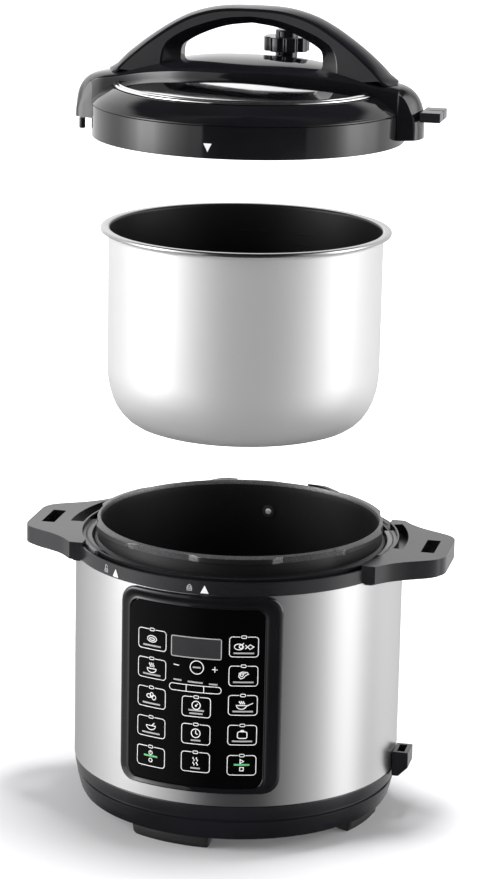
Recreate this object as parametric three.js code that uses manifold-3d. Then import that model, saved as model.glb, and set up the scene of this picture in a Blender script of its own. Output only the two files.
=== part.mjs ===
// Electric pressure cooker: base unit, inner pot and lid, shown drawn apart on one common axis.
// Millimetres, +Z up, the control panel faces -Y. The origin is on the table, under the axis.
// Azimuth runs from the front (-Y) towards the right-hand handle (+X).

import * as THREE from 'three';
import { mergeVertices } from 'three/addons/utils/BufferGeometryUtils.js';
import Module from 'manifold-3d';

const wasm = await Module();
wasm.setup();

// ---------- driving sizes ----------
const GAP = 0.3;              // seat gap between neighbouring pieces
const ROUND = 36;             // facets on a full turn
const MID_ROUND = 20;         // facets on pieces the size of a knob
const SMALL_ROUND = 12;       // facets on small pins and screws
const PLASTIC_WALL = 2.5;

// inner pot: everything round it takes its radius from this one
const POT_R = 111.5;
const POT_WALL = 1.5;
const POT_HEIGHT = 163;
const POT_RIM_REACH = 6.7;    // the rim stands out this far
const POT_RIM_THICK = 3;
const POT_RIM_R = POT_R + POT_RIM_REACH;

// pressure vessel with the bayonet ring
const POT_CLEARANCE = 3;
const VESSEL_WALL = 2.2;
const NECK_WALL = 3.8;
const LUG_REACH = 3.2;
const LUG_COUNT = 6;
const LUG_SPAN = 31;
const LUG_THICK = 5.9;
const LUG_AZIMUTH = 10.7;
const VESSEL_R = POT_R + POT_CLEARANCE;
const NECK_R = VESSEL_R + NECK_WALL;
const LUG_R = NECK_R + LUG_REACH;

// base unit
const TROUGH_SPACE = 14.5;    // from the lugs to the outside of the body
const WRAP_WALL = 0.8;
const WRAP_BOTTOM = 42.5;
const UNDERCUT = 31.6;        // height of the plastic housing that shows below the wrap
const FOOT_INSET = 12;
const FOOT_WIDE = 18;
const FOOT_SPAN = 30;
const FOOT_COUNT = 4;
const FOOT_FIRST = -15;
const COVER_INSET = 38;       // metal plate that closes the underside
const COVER_WALL = 1.2;
const SCREW_COUNT = 4;
const BODY_R = LUG_R + TROUGH_SPACE;
const HOUSING_FLOOR = WRAP_BOTTOM - UNDERCUT;
const FOOT_R_OUT = BODY_R - FOOT_INSET;
const FOOT_R_IN = FOOT_R_OUT - FOOT_WIDE;
const COVER_R = BODY_R - COVER_INSET;

// heights inside the base: the pot stands on the heater and its rim on the vessel's neck
const VESSEL_RISE = 21.5;     // vessel floor above the wrap's lower edge
const HEATER_SPACE = 12.5;    // under the heater, for its element
const HEATER_THICK = 10;
const HEATER_INSET = 25.5;
const SENSOR_R = 12;
const SENSOR_PROUD = 1.7;     // the sensor stands this far above the heater
const ELEMENT_INSET = 24;
const ELEMENT_TUBE = 3.4;
const NECK_RISE = 27.5;       // vessel rim above the wrap
const VESSEL_FLOOR = WRAP_BOTTOM + VESSEL_RISE;
const HEATER_TOP = VESSEL_FLOOR + HEATER_SPACE + HEATER_THICK;
const HEATER_R = POT_R - HEATER_INSET;
const ELEMENT_R = HEATER_R - ELEMENT_INSET;
const RIM_Z = HEATER_TOP + POT_HEIGHT - POT_RIM_THICK;
const WRAP_TOP = RIM_Z - NECK_RISE;

// collar and handles
const COLLAR_PROUD = 0.6;
const COLLAR_HEIGHT = 11.6;
const COLLAR_RIM = 5;         // width of the flat top rim
const REAR_WALL_RISE = 12.9;
const SHELF = 3;              // ledge inside the collar that carries the trough
const HANDLE_RISE = 3.2;      // the grips stand this far above the collar
const HANDLE_LENGTH = 41;
const SLOT_INSET = 16.5;      // lid parking slot, from the handle's tip
const SLOT_WIDE = 11;
const SLOT_LONG = 37;
const GUIDE_DEPTH = 8.3;      // curved guide slots beside the handles
const GUIDE_WIDE = 7;
const COLLAR_R = BODY_R + COLLAR_PROUD;
const COLLAR_TOP = WRAP_TOP + COLLAR_HEIGHT;
const COLLAR_REAR_TOP = COLLAR_TOP + REAR_WALL_RISE;
const HANDLE_TOP = COLLAR_TOP + HANDLE_RISE;
const HANDLE_REACH = BODY_R + HANDLE_LENGTH;
const SLOT_X = HANDLE_REACH - SLOT_INSET;
const GUIDE_FLOOR = HANDLE_TOP - GUIDE_DEPTH;

// control panel
const PANEL_AZIMUTH = -1.6;
const PANEL_PROUD = 3.5;
const PANEL_HALF = 66.2;
const PANEL_DROP = 11.5;      // panel's lower edge above the wrap's
const PANEL_TOP_GAP = 0.4;
const PANEL_CORNER = 14;
const WINDOW_LEFT_EDGE = 5.8; // width of the panel's frame on each side
const WINDOW_RIGHT_EDGE = 11.4;
const WINDOW_LOW_EDGE = 6.5;
const WINDOW_HIGH_EDGE = 8.1;
const OVERLAY_WALL = 0.9;
const DISPLAY_HALF = 20.2;
const DISPLAY_TALL = 15.8;
const DISPLAY_DOWN = 27.5;    // from the window's upper edge
const PANEL_R = BODY_R + PANEL_PROUD;
const PANEL_LOW = WRAP_BOTTOM + PANEL_DROP;
const PANEL_HIGH = WRAP_TOP - PANEL_TOP_GAP;
const WINDOW_LEFT = -PANEL_HALF + WINDOW_LEFT_EDGE;
const WINDOW_RIGHT = PANEL_HALF - WINDOW_RIGHT_EDGE;
const WINDOW_LOW = PANEL_LOW + WINDOW_LOW_EDGE;
const WINDOW_HIGH = PANEL_HIGH - WINDOW_HIGH_EDGE;
const DISPLAY_HIGH = WINDOW_HIGH - DISPLAY_DOWN;
const DISPLAY_LOW = DISPLAY_HIGH - DISPLAY_TALL;

// lid, measured up from the underside of its skirt
const LUG_GAP = 0.6;          // between the lid's lugs and the vessel's, when closed
const LID_LUG_SPAN = 26;
const LID_LUG_LOW = 5;
const LID_LUG_THICK = 4;
const PLATE_LIP = 2.1;        // pressure plate outside the lugs
const PLATE_WALL = 1.8;
const SKIRT_LIP = 2.4;        // skirt outside the pressure plate
const SEAL_LIFT = 0.4;        // sealing ring above the pot's rim, when closed
const SEAL_TALL = 5.4;
const SEAL_INSET = 2;
const SEAL_WIDE = 12.5;
const SKIRT_OVER = 1.9;       // skirt above the pressure plate
const DOME_INSET = 22.5;
const SHOULDER_RISE = 14.5;
const DOME_RISE = 13;
const DOME_WALL = 0.8;
const TRIM_OUT = 2.8;
const BRIDGE_OUT = 20.4;
const BRIDGE_RISE = 2;
const ARCH_RISE = 48.6;
const ARCH_INSET = 8;
const ARCH_HALF_WIDTH = 15;
const ARCH_BAR = 13.3;        // thickness of the grip at its middle
const CAP_WALL = 3;
const PLATE_R = LUG_R + PLATE_LIP;
const SKIRT_R = PLATE_R + SKIRT_LIP;
const LID_SEAT = RIM_Z - LUG_THICK - LUG_GAP - LID_LUG_THICK - LID_LUG_LOW;
const SEAL_UNDER = RIM_Z + GAP + POT_RIM_THICK + SEAL_LIFT - LID_SEAT;
const SEAL_R_OUT = LUG_R - SEAL_INSET;
const SEAL_R_IN = SEAL_R_OUT - SEAL_WIDE;
const PLATE_UNDER = SEAL_UNDER + SEAL_TALL;
const SKIRT_HEIGHT = PLATE_UNDER + SKIRT_OVER;
const DOME_R = SKIRT_R - DOME_INSET;
const DOME_EDGE = SKIRT_HEIGHT + SHOULDER_RISE;
const DOME_TOP = DOME_EDGE + DOME_RISE;
const TRIM_R = DOME_R + TRIM_OUT;
const BRIDGE_REACH = SKIRT_R + BRIDGE_OUT;
const BRIDGE_TOP = DOME_TOP + BRIDGE_RISE;
const ARCH_TOP = BRIDGE_TOP + ARCH_RISE;
const ARCH_FOOT = SKIRT_R - ARCH_INSET;

// steam knob, float valve and stand tab
const KNOB_X = 22;
const KNOB_Y = 38;
const KNOB_R = 18.5;
const PIPE_R = 5;             // steam pipe through the lid
const FLOAT_X = -28;
const FLOAT_Y = 38;
const FLOAT_R = 3;
const TAB_LENGTH = 13.8;
const TAB_PLAY = 3;           // the tab is this much thinner than its parking slot
const TAB_SIDE_PLAY = 2;

// ---------- how far the pieces are drawn apart ----------
const POT_LIFT = 240;         // pot above its seat in the vessel
const LID_LIFT = 93.2;        // lid above its seat on the pot
const POT_SEAT = RIM_Z + GAP - (POT_HEIGHT - POT_RIM_THICK);
const POT_Z = POT_SEAT + POT_LIFT;
const LID_Z = LID_SEAT + POT_LIFT + LID_LIFT;

// ---------- materials ----------
const BLACK = { color: 0x17181b, roughness: 0.3, metalness: 0 };
const MATT_BLACK = { color: 0x1c1d20, roughness: 0.6, metalness: 0 };
const STEEL = { color: 0xc4c4c2, roughness: 0.3, metalness: 1 };
const POLISHED = { color: 0xd8d8d8, roughness: 0.08, metalness: 1 };
const CAST = { color: 0x3b3c40, roughness: 0.55, metalness: 0.8 };
const POT_METAL = { color: 0xd9dadc, roughness: 0.35, metalness: 1 };
const SILICONE = { color: 0xdfe0dc, roughness: 0.6, metalness: 0 };
const RUBBER = { color: 0x101012, roughness: 0.8, metalness: 0 };
const BOARD = { color: 0x1f5a35, roughness: 0.6, metalness: 0 };
const GLOSS = { color: 0x08080a, roughness: 0.08, metalness: 0 };
const DISPLAY_GLASS = { color: 0x3a3d42, roughness: 0.15, metalness: 0 };
const WHITE_PLASTIC = { color: 0xd8d6cf, roughness: 0.5, metalness: 0 };

// ---------- solids ----------
const radians = THREE.MathUtils.degToRad;

// a point on a circle, by azimuth
function polar(r, azimuth) {
  return [r * Math.sin(radians(azimuth)), -r * Math.cos(radians(azimuth))];
}

// closed three.js geometry to a manifold solid with its faces pointing out
function solid(geometry) {
  geometry.deleteAttribute('normal');
  geometry.deleteAttribute('uv');
  const merged = mergeVertices(geometry, 1e-4);
  const place = merged.attributes.position.array;
  const corners = [];
  let volume = 0;
  for (let i = 0; i < merged.index.count; i += 3) {
    const [a, b, c] = [0, 1, 2].map((k) => merged.index.array[i + k]);
    if (a === b || b === c || a === c) continue;
    corners.push(a, b, c);
    const [p, q, r] = [a, b, c].map((n) => new THREE.Vector3().fromArray(place, 3 * n));
    volume += p.dot(q.cross(r));
  }
  if (volume < 0) corners.reverse();
  return new wasm.Manifold(new wasm.Mesh({
    numProp: 3,
    vertProperties: new Float32Array(place),
    triVerts: new Uint32Array(corners),
  }));
}

function union(...solids) {
  return solids.reduce((sum, next) => sum.add(next));
}

// body of revolution about +Z from [radius, z] points
function turned(profile, facets = ROUND) {
  const points = profile.map(([r, z]) => new THREE.Vector2(r, z));
  const onAxis = profile[0][0] === 0 && profile[profile.length - 1][0] === 0;
  if (!onAxis) points.push(points[0].clone());
  return solid(new THREE.LatheGeometry(points, facets).rotateX(Math.PI / 2));
}

function tubeRing(rIn, rOut, z0, z1, facets = ROUND) {
  return turned([[rIn, z0], [rOut, z0], [rOut, z1], [rIn, z1]], facets);
}

function disc(r, z0, z1, x = 0, y = 0, facets = SMALL_ROUND) {
  return turned([[0, z0], [r, z0], [r, z1], [0, z1]], facets).translate([x, y, 0]);
}

function shapeOf(points) {
  return new THREE.Shape(points.map(([x, y]) => new THREE.Vector2(x, y)));
}

// flat outline in XY, drawn up from z0 to z1
function upright(points, z0, z1) {
  const drawn = new THREE.ExtrudeGeometry(shapeOf(points), { depth: z1 - z0, bevelEnabled: false });
  return solid(drawn.translate(0, 0, z0));
}

// flat outline in XZ, drawn along Y from y0 to y1
function sideways(points, y0, y1) {
  const drawn = new THREE.ExtrudeGeometry(shapeOf(points), { depth: y1 - y0, bevelEnabled: false });
  return solid(drawn.rotateX(Math.PI / 2).translate(0, y1, 0));
}

// flat outline in YZ, drawn along X from x0 to x1
function lengthways(points, x0, x1) {
  const drawn = new THREE.ExtrudeGeometry(shapeOf(points), { depth: x1 - x0, bevelEnabled: false });
  return solid(drawn.rotateX(Math.PI / 2).rotateZ(Math.PI / 2).translate(x0, 0, 0));
}

function box(x0, x1, y0, y1, z0, z1) {
  return upright([[x0, y0], [x1, y0], [x1, y1], [x0, y1]], z0, z1);
}

// part of a ring between two azimuths
function sector(rIn, rOut, z0, z1, from, to) {
  const steps = Math.max(2, Math.ceil((to - from) / (360 / ROUND)));
  const outline = [];
  for (let i = 0; i <= steps; i += 1) outline.push(polar(rOut, from + ((to - from) * i) / steps));
  for (let i = steps; i >= 0; i -= 1) outline.push(polar(rIn, from + ((to - from) * i) / steps));
  return upright(outline, z0, z1);
}

// rectangle with round corners, as outline points
function roundRect(x0, x1, y0, y1, corner, steps = 4) {
  const centres = [[x1 - corner, y1 - corner, 0], [x0 + corner, y1 - corner, 90],
    [x0 + corner, y0 + corner, 180], [x1 - corner, y0 + corner, 270]];
  const points = [];
  for (const [x, y, start] of centres) {
    for (let i = 0; i <= steps; i += 1) {
      const turn = radians(start + (90 * i) / steps);
      points.push([x + corner * Math.cos(turn), y + corner * Math.sin(turn)]);
    }
  }
  return points;
}

function mirrored(points) {
  return points.map(([x, y]) => [-x, y]).reverse();
}

// points on a cubic curve, without its first point
function cubic(a, b, c, d, steps) {
  const curve = new THREE.CubicBezierCurve(...[a, b, c, d].map(([x, y]) => new THREE.Vector2(x, y)));
  return curve.getPoints(steps).slice(1).map((p) => [p.x, p.y]);
}

// ---------- scene graph ----------
const cooker = new THREE.Group();
const baseUnit = new THREE.Group();
const potUnit = new THREE.Group();
const lidUnit = new THREE.Group();
potUnit.position.z = POT_Z;
lidUnit.position.z = LID_Z;
cooker.add(baseUnit, potUnit, lidUnit);

function addPiece(name, group, body, finish) {
  const raw = body.getMesh();
  const geometry = new THREE.BufferGeometry();
  geometry.setAttribute('position', new THREE.BufferAttribute(new Float32Array(raw.vertProperties), 3));
  geometry.setIndex(new THREE.BufferAttribute(new Uint32Array(raw.triVerts), 1));
  geometry.computeVertexNormals();
  const mesh = new THREE.Mesh(geometry, new THREE.MeshStandardMaterial(finish));
  mesh.name = name;
  group.add(mesh);
  return mesh;
}

// ---------- base housing, underside and feet ----------
const WRAP_R_IN = BODY_R - WRAP_WALL;
const SPIGOT_R = WRAP_R_IN - GAP;
const SPIGOT_IN = SPIGOT_R - PLASTIC_WALL;
const FLOOR_TOP = HOUSING_FLOOR + PLASTIC_WALL;
const SCREW_RING = COVER_R - 8;
const SCREW_BORE = 2;
const BOSS_R = 5;
const BOSS_TOP = FLOOR_TOP + 7;
const INLET_HALF = 25;
const INLET_LOW = WRAP_BOTTOM + 11.5;
const INLET_HIGH = INLET_LOW + 36;
const INLET_DEPTH = 21;
const STAY_RING = COVER_R - 6;
const STAY_AZIMUTHS = [0, 120, 240];
const BOARD_HALF_X = 46;
const BOARD_HALF_Y = 30;
const BOARD_WALL = 1.6;

function screwAzimuth(i) {
  return 45 + (360 / SCREW_COUNT) * i;
}

function makeHousing() {
  const edge = BODY_R - 0.6;
  const inner = SPIGOT_IN;
  let body = turned([
    [0, HOUSING_FLOOR], [BODY_R - 7.5, HOUSING_FLOOR], [BODY_R - 5, HOUSING_FLOOR + 4.6],
    [BODY_R - 2, WRAP_BOTTOM - 14], [BODY_R - 3.2, WRAP_BOTTOM - 13.2], [BODY_R - 1.6, WRAP_BOTTOM - 12],
    [edge, WRAP_BOTTOM - GAP], [SPIGOT_R, WRAP_BOTTOM - GAP], [SPIGOT_R, WRAP_BOTTOM + 8],
    [inner, WRAP_BOTTOM + 8], [inner, WRAP_BOTTOM - 8], [BODY_R - 9, FLOOR_TOP], [0, FLOOR_TOP],
  ]);
  for (const sx of [-1, 1]) {
    for (const sy of [-1, 1]) {
      body = body.add(disc(4, FLOOR_TOP - 1, BOSS_TOP, sx * (BOARD_HALF_X - 6), sy * (BOARD_HALF_Y - 6)));
    }
  }
  body = body.subtract(disc(28, 0, FLOOR_TOP + 1, 0, 0, MID_ROUND));
  for (let i = 0; i < SCREW_COUNT; i += 1) {
    const [x, y] = polar(SCREW_RING, screwAzimuth(i));
    body = body.add(disc(BOSS_R, FLOOR_TOP - 1, BOSS_TOP, x, y));
    body = body.subtract(disc(SCREW_BORE, 0, BOSS_TOP + 1, x, y));
  }
  return body;
}

function makeBottomCover() {
  const top = HOUSING_FLOOR - GAP;
  let body = disc(COVER_R, top - COVER_WALL, top, 0, 0, ROUND);
  for (let i = 0; i < SCREW_COUNT; i += 1) {
    const [x, y] = polar(SCREW_RING, screwAzimuth(i));
    body = body.subtract(disc(SCREW_BORE, 0, top + 1, x, y));
  }
  const ventCount = 8;
  for (let i = 0; i < ventCount; i += 1) {
    const from = (360 / ventCount) * i;
    body = body.subtract(sector(14, 24, 0, top + 1, from, from + 20));
  }
  return body;
}

function makeCoverScrew() {
  const seat = HOUSING_FLOOR - GAP - COVER_WALL - GAP;
  return turned([[0, seat - 1.8], [3.4, seat - 1.8], [4, seat], [SCREW_BORE - 0.4, seat],
    [SCREW_BORE - 0.4, BOSS_TOP - 2], [0, BOSS_TOP - 1.4]], SMALL_ROUND);
}

function makeFoot(azimuth) {
  const half = FOOT_SPAN / 2;
  return sector(FOOT_R_IN, FOOT_R_OUT, 0, HOUSING_FLOOR - GAP, azimuth - half, azimuth + half);
}

addPiece('base_housing', baseUnit, makeHousing(), BLACK);
addPiece('bottom_cover', baseUnit, makeBottomCover(), STEEL);
for (let i = 0; i < SCREW_COUNT; i += 1) {
  const screw = addPiece(`cover_screw_${i + 1}`, baseUnit, makeCoverScrew(), STEEL);
  const [x, y] = polar(SCREW_RING, screwAzimuth(i));
  screw.position.set(x, y, 0);
}
for (let i = 0; i < FOOT_COUNT; i += 1) {
  const azimuth = FOOT_FIRST + (360 / FOOT_COUNT) * i;
  addPiece(`foot_${i + 1}`, baseUnit, makeFoot(azimuth), RUBBER);
}

// ---------- steel wrap ----------
const PORT_MARGIN = 8;        // the wrap's opening is this much smaller than the panel
const BRACKET_LOW = 36;
const BRACKET_HIGH = 57;

function makeWrap() {
  const port = sideways(roundRect(WINDOW_LEFT + PORT_MARGIN, WINDOW_RIGHT - PORT_MARGIN,
    WINDOW_LOW + PORT_MARGIN, WINDOW_HIGH - PORT_MARGIN, 6, 2), -PANEL_R - 10, -PANEL_R + 50)
    .rotate([0, 0, PANEL_AZIMUTH]);
  const inletPort = box(-INLET_HALF - GAP, INLET_HALF + GAP, BODY_R - INLET_DEPTH, BODY_R + 10,
    INLET_LOW - GAP, INLET_HIGH + GAP);
  return tubeRing(WRAP_R_IN, BODY_R, WRAP_BOTTOM, WRAP_TOP).subtract(port).subtract(inletPort);
}

addPiece('body_wrap', baseUnit, makeWrap(), STEEL);

// ---------- collar with the side handles ----------
const COLLAR_BORE = COLLAR_R - COLLAR_RIM - 0.8;
const SHELF_TOP = WRAP_TOP + 2;
const SHELF_R = NECK_R + 0.9;
const GUIDE_MIDDLE = BODY_R - 1;
const GUIDE_OUT = GUIDE_MIDDLE + GUIDE_WIDE / 2;
const GUIDE_FROM = 80;
const GUIDE_TO = 121;
const ROOT_OUT = GUIDE_OUT - GAP;
const UNDERCOVER_WALL = 2;

// half of the handle outline, from the tip's middle round to the collar
function handleOutline(inset) {
  const side = [[HANDLE_REACH, 27], [HANDLE_REACH - 2, 33.5], [HANDLE_REACH - 7, 39.5],
    [HANDLE_REACH - 17, 46], [HANDLE_REACH - 30, 53.5], [HANDLE_REACH - 42, 62], [HANDLE_REACH - 53, 73]];
  const upper = side.map(([x, y]) => [x - inset, y - inset]);
  const lower = upper.map(([x, y]) => [x, -y]).reverse();
  const root = BODY_R - 36;
  return [[root, -73 + inset], ...lower, ...upper, [root, 73 - inset]];
}

function parkingSlot(side, clearance) {
  const halfX = SLOT_WIDE / 2 + clearance;
  const halfY = SLOT_LONG / 2 + clearance;
  return box(SLOT_X - halfX, SLOT_X + halfX, -halfY, halfY, WRAP_TOP - 20, HANDLE_TOP + 5)
    .rotate([0, 0, side > 0 ? 0 : 180]);
}

function grip(side) {
  const outline = side > 0 ? handleOutline(0) : mirrored(handleOutline(0));
  return upright(outline, WRAP_TOP + GAP, HANDLE_TOP);
}

// the part of both grips that belongs to the collar, between two heights
function gripRoots(z0, z1) {
  return grip(-1).add(grip(1)).intersect(tubeRing(COLLAR_BORE, ROOT_OUT, z0, z1));
}

// the collar is a low ring on the wrap, with a front and a rear rim on it: the guide slots lie between
// the rims, and a separate ledge inside carries the trough
function makeCollarRing() {
  return turned([
    [SPIGOT_R, WRAP_TOP - 10], [SPIGOT_R, WRAP_TOP + GAP], [COLLAR_R, WRAP_TOP + GAP],
    [COLLAR_R, GUIDE_FLOOR], [COLLAR_BORE, GUIDE_FLOOR], [COLLAR_BORE, WRAP_TOP + GAP],
    [SPIGOT_IN, WRAP_TOP + GAP], [SPIGOT_IN, WRAP_TOP - 10],
  ]).add(gripRoots(WRAP_TOP, GUIDE_FLOOR));
}

function makeRim(from, to) {
  const low = GUIDE_FLOOR + GAP;
  return turned([[COLLAR_BORE, low], [COLLAR_R, low], [COLLAR_R, COLLAR_TOP - 1], [COLLAR_R - 1, COLLAR_TOP],
    [COLLAR_BORE + 0.8, COLLAR_TOP], [COLLAR_BORE, COLLAR_TOP - 0.8]])
    .add(gripRoots(low, HANDLE_TOP + 5))
    .intersect(sector(COLLAR_BORE - 10, ROOT_OUT + 10, low - 1, HANDLE_TOP + 5, from, to));
}

function makeRearRim() {
  const low = GUIDE_FLOOR + GAP;
  const wall = tubeRing(COLLAR_BORE, COLLAR_R, low, COLLAR_REAR_TOP)
    .intersect(sideways([[-112, low], [112, low], [112, COLLAR_TOP], [78, COLLAR_TOP + 4],
      [52, COLLAR_REAR_TOP - 1], [40, COLLAR_REAR_TOP], [-40, COLLAR_REAR_TOP], [-52, COLLAR_REAR_TOP - 1],
      [-78, COLLAR_TOP + 4], [-112, COLLAR_TOP]], COLLAR_R / 2, COLLAR_R + 10));
  return makeRim(GUIDE_TO, 360 - GUIDE_TO).add(wall);
}

function makeTroughLedge() {
  return turned([
    [SHELF_R, SHELF_TOP - SHELF], [SPIGOT_IN - GAP, SHELF_TOP - SHELF], [SPIGOT_IN - GAP, WRAP_TOP],
    [COLLAR_BORE - GAP, WRAP_TOP], [COLLAR_BORE - GAP, SHELF_TOP], [SHELF_R, SHELF_TOP],
  ]);
}

function makeSideHandle(side) {
  return grip(side)
    .subtract(disc(GUIDE_OUT, WRAP_TOP - 1, HANDLE_TOP + 5, 0, 0, 2 * ROUND))
    .subtract(parkingSlot(side, 0));
}

function makeHandleCover(side) {
  const inset = 3;
  const top = WRAP_TOP;
  const outline = side > 0 ? handleOutline(inset) : mirrored(handleOutline(inset));
  return upright(outline, top - UNDERCOVER_WALL, top)
    .subtract(parkingSlot(side, 1))
    .subtract(disc(BODY_R + GAP, top - 10, top + 10, 0, 0, ROUND));
}

addPiece('collar_ring', baseUnit, makeCollarRing(), BLACK);
addPiece('collar_rim_front', baseUnit, makeRim(-GUIDE_FROM, GUIDE_FROM), BLACK);
addPiece('collar_rim_rear', baseUnit, makeRearRim(), BLACK);
addPiece('trough_ledge', baseUnit, makeTroughLedge(), BLACK);
addPiece('side_handle_left', baseUnit, makeSideHandle(-1), BLACK);
addPiece('side_handle_right', baseUnit, makeSideHandle(1), BLACK);
addPiece('handle_cover_left', baseUnit, makeHandleCover(-1), BLACK);
addPiece('handle_cover_right', baseUnit, makeHandleCover(1), BLACK);

// ---------- drip trough ----------
const TROUGH_R_OUT = COLLAR_BORE - GAP;
const TROUGH_R_IN = SHELF_R + 0.6;
const TROUGH_FLOOR = SHELF_TOP + GAP;
const TROUGH_WALL = 1.5;
const RIDGE_TOP = COLLAR_TOP + 0.6;
const PAD_TOP = COLLAR_TOP - 0.4;
const SHOULDER_Z = TROUGH_FLOOR + 5;

function makeTrough() {
  const body = turned([
    [TROUGH_R_IN, TROUGH_FLOOR], [TROUGH_R_OUT, TROUGH_FLOOR], [TROUGH_R_OUT, RIDGE_TOP],
    [TROUGH_R_OUT - 1.8, RIDGE_TOP], [TROUGH_R_OUT - 1.8, TROUGH_FLOOR + TROUGH_WALL],
    [TROUGH_R_IN + TROUGH_WALL, TROUGH_FLOOR + TROUGH_WALL], [TROUGH_R_IN + TROUGH_WALL, SHOULDER_Z - GAP],
    [TROUGH_R_IN, SHOULDER_Z - GAP],
  ]);
  const padIn = LUG_R + 1;
  return union(body,
    sector(padIn, TROUGH_R_OUT - 1, TROUGH_FLOOR + 1, PAD_TOP, -76, -48),
    sector(padIn, TROUGH_R_OUT - 1, TROUGH_FLOOR + 1, PAD_TOP, 74, 102));
}

addPiece('drip_trough', baseUnit, makeTrough(), BLACK);

// ---------- pressure vessel ----------
const VESSEL_OUT = VESSEL_R + VESSEL_WALL;
const FLOOR_PORT = 24;

function lugRing(count, span, centre, rIn, rOut, z0, z1) {
  const lugs = [];
  for (let i = 0; i < count; i += 1) {
    const middle = centre + (360 / count) * i;
    lugs.push(sector(rIn, rOut, z0, z1, middle - span / 2, middle + span / 2));
  }
  return lugs;
}

function makeVessel() {
  let body = turned([
    [FLOOR_PORT, VESSEL_FLOOR], [VESSEL_R - 10, VESSEL_FLOOR], [VESSEL_OUT - 2.5, VESSEL_FLOOR + 3],
    [VESSEL_OUT, VESSEL_FLOOR + 10], [VESSEL_OUT, SHELF_TOP], [NECK_R, SHELF_TOP + 2],
    [NECK_R, SHOULDER_Z], [TROUGH_R_IN + 1.4, SHOULDER_Z], [TROUGH_R_IN + 1.4, SHOULDER_Z + 2.7],
    [NECK_R, SHOULDER_Z + 4], [NECK_R, RIM_Z - 0.5], [NECK_R - 0.5, RIM_Z], [VESSEL_R + 1.7, RIM_Z],
    [VESSEL_R + 1, RIM_Z - 1], [VESSEL_R, RIM_Z - 8], [VESSEL_R, VESSEL_FLOOR + 10.5],
    [VESSEL_R - 2.5, VESSEL_FLOOR + 5.5], [VESSEL_R - 10, VESSEL_FLOOR + 2], [FLOOR_PORT, VESSEL_FLOOR + 2],
  ]);
  const lugs = lugRing(LUG_COUNT, LUG_SPAN, LUG_AZIMUTH, NECK_R - 1, LUG_R, RIM_Z - LUG_THICK, RIM_Z);
  body = union(body, ...lugs);
  const ends = [-12, 12].map((turn) => polar(ELEMENT_R, 180 + turn));
  for (const [x, y] of ends) body = body.subtract(disc(ELEMENT_TUBE + 1.6, 0, VESSEL_FLOOR + 5, x, y));
  return body;
}

function makeStay() {
  return disc(4.5, FLOOR_TOP + GAP, VESSEL_FLOOR - GAP);
}

addPiece('pressure_vessel', baseUnit, makeVessel(), CAST);
STAY_AZIMUTHS.forEach((azimuth, i) => {
  const stay = addPiece(`vessel_stay_${i + 1}`, baseUnit, makeStay(), STEEL);
  const [x, y] = polar(STAY_RING, azimuth);
  stay.position.set(x, y, 0);
});

const STUD_Z = 220;
const STUD_R = 3.2;
const stud = addPiece('vessel_stud', baseUnit,
  turned([[0, 0], [STUD_R, 0], [STUD_R, 1], [2, 2], [0, 2]], SMALL_ROUND), STEEL);
stud.rotation.x = Math.PI / 2;
stud.position.set(0, VESSEL_R * Math.cos(Math.PI / ROUND) - GAP, STUD_Z);

// ---------- heater and temperature sensor ----------
const HEATER_LOW = HEATER_TOP - HEATER_THICK;
const SENSOR_BORE = SENSOR_R + 0.8;
const LEG_RING = HEATER_R - 12;

function makeHeaterPlate() {
  let body = turned([[SENSOR_BORE, HEATER_LOW], [HEATER_R - 3, HEATER_LOW], [HEATER_R, HEATER_LOW + 3],
    [HEATER_R, HEATER_TOP - 1], [HEATER_R - 1, HEATER_TOP], [SENSOR_BORE, HEATER_TOP]]);
  for (const azimuth of STAY_AZIMUTHS) {
    const [x, y] = polar(LEG_RING, azimuth);
    body = body.add(disc(5, VESSEL_FLOOR + 2 + GAP, HEATER_LOW + 1, x, y));
  }
  return body;
}

function makeElement() {
  const height = HEATER_LOW - GAP - ELEMENT_TUBE;
  const steps = 24;
  const points = [];
  for (let i = 0; i <= steps; i += 1) {
    const [x, y] = polar(ELEMENT_R, 192 + (336 * i) / steps);
    points.push(new THREE.Vector3(x, y, height));
  }
  const section = new THREE.Shape();
  section.absarc(0, 0, ELEMENT_TUBE, 0, 2 * Math.PI);
  const tube = new THREE.ExtrudeGeometry(section, { steps, extrudePath: new THREE.CatmullRomCurve3(points),
    curveSegments: 3, bevelEnabled: false });
  const pins = [points[0], points[steps]].map((p) => disc(2.4, VESSEL_FLOOR - 12, height, p.x, p.y, 10));
  return union(solid(tube), ...pins);
}

function makeSensor() {
  const top = HEATER_TOP + SENSOR_PROUD;
  const under = HEATER_LOW + 3;
  return turned([[0, VESSEL_FLOOR - 6], [3.5, VESSEL_FLOOR - 6], [3.5, under], [SENSOR_R, under],
    [SENSOR_R, top - 1], [SENSOR_R - 1, top], [0, top]], MID_ROUND);
}

function makeSensorCup() {
  const low = VESSEL_FLOOR + 2.6;
  const rim = HEATER_LOW - GAP;
  return turned([[5, low], [SENSOR_BORE + 2.5, low], [SENSOR_BORE + 2.5, rim], [SENSOR_BORE + 0.9, rim],
    [SENSOR_BORE + 0.9, low + 1.5], [5, low + 1.5]], MID_ROUND);
}

function makeSensorSpring() {
  const low = VESSEL_FLOOR + 2.6 + 1.5 + GAP;
  const high = HEATER_LOW + 3 - GAP;
  const wire = 0.6;
  const turns = 4;
  const steps = turns * 8;
  const points = [];
  for (let i = 0; i <= steps; i += 1) {
    const turn = (2 * Math.PI * turns * i) / steps;
    const z = low + wire + ((high - low - 2 * wire) * i) / steps;
    points.push(new THREE.Vector3(8 * Math.cos(turn), 8 * Math.sin(turn), z));
  }
  const section = new THREE.Shape();
  section.absarc(0, 0, wire, 0, 2 * Math.PI);
  return solid(new THREE.ExtrudeGeometry(section, { steps, extrudePath: new THREE.CatmullRomCurve3(points),
    curveSegments: 3, bevelEnabled: false }));
}

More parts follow.
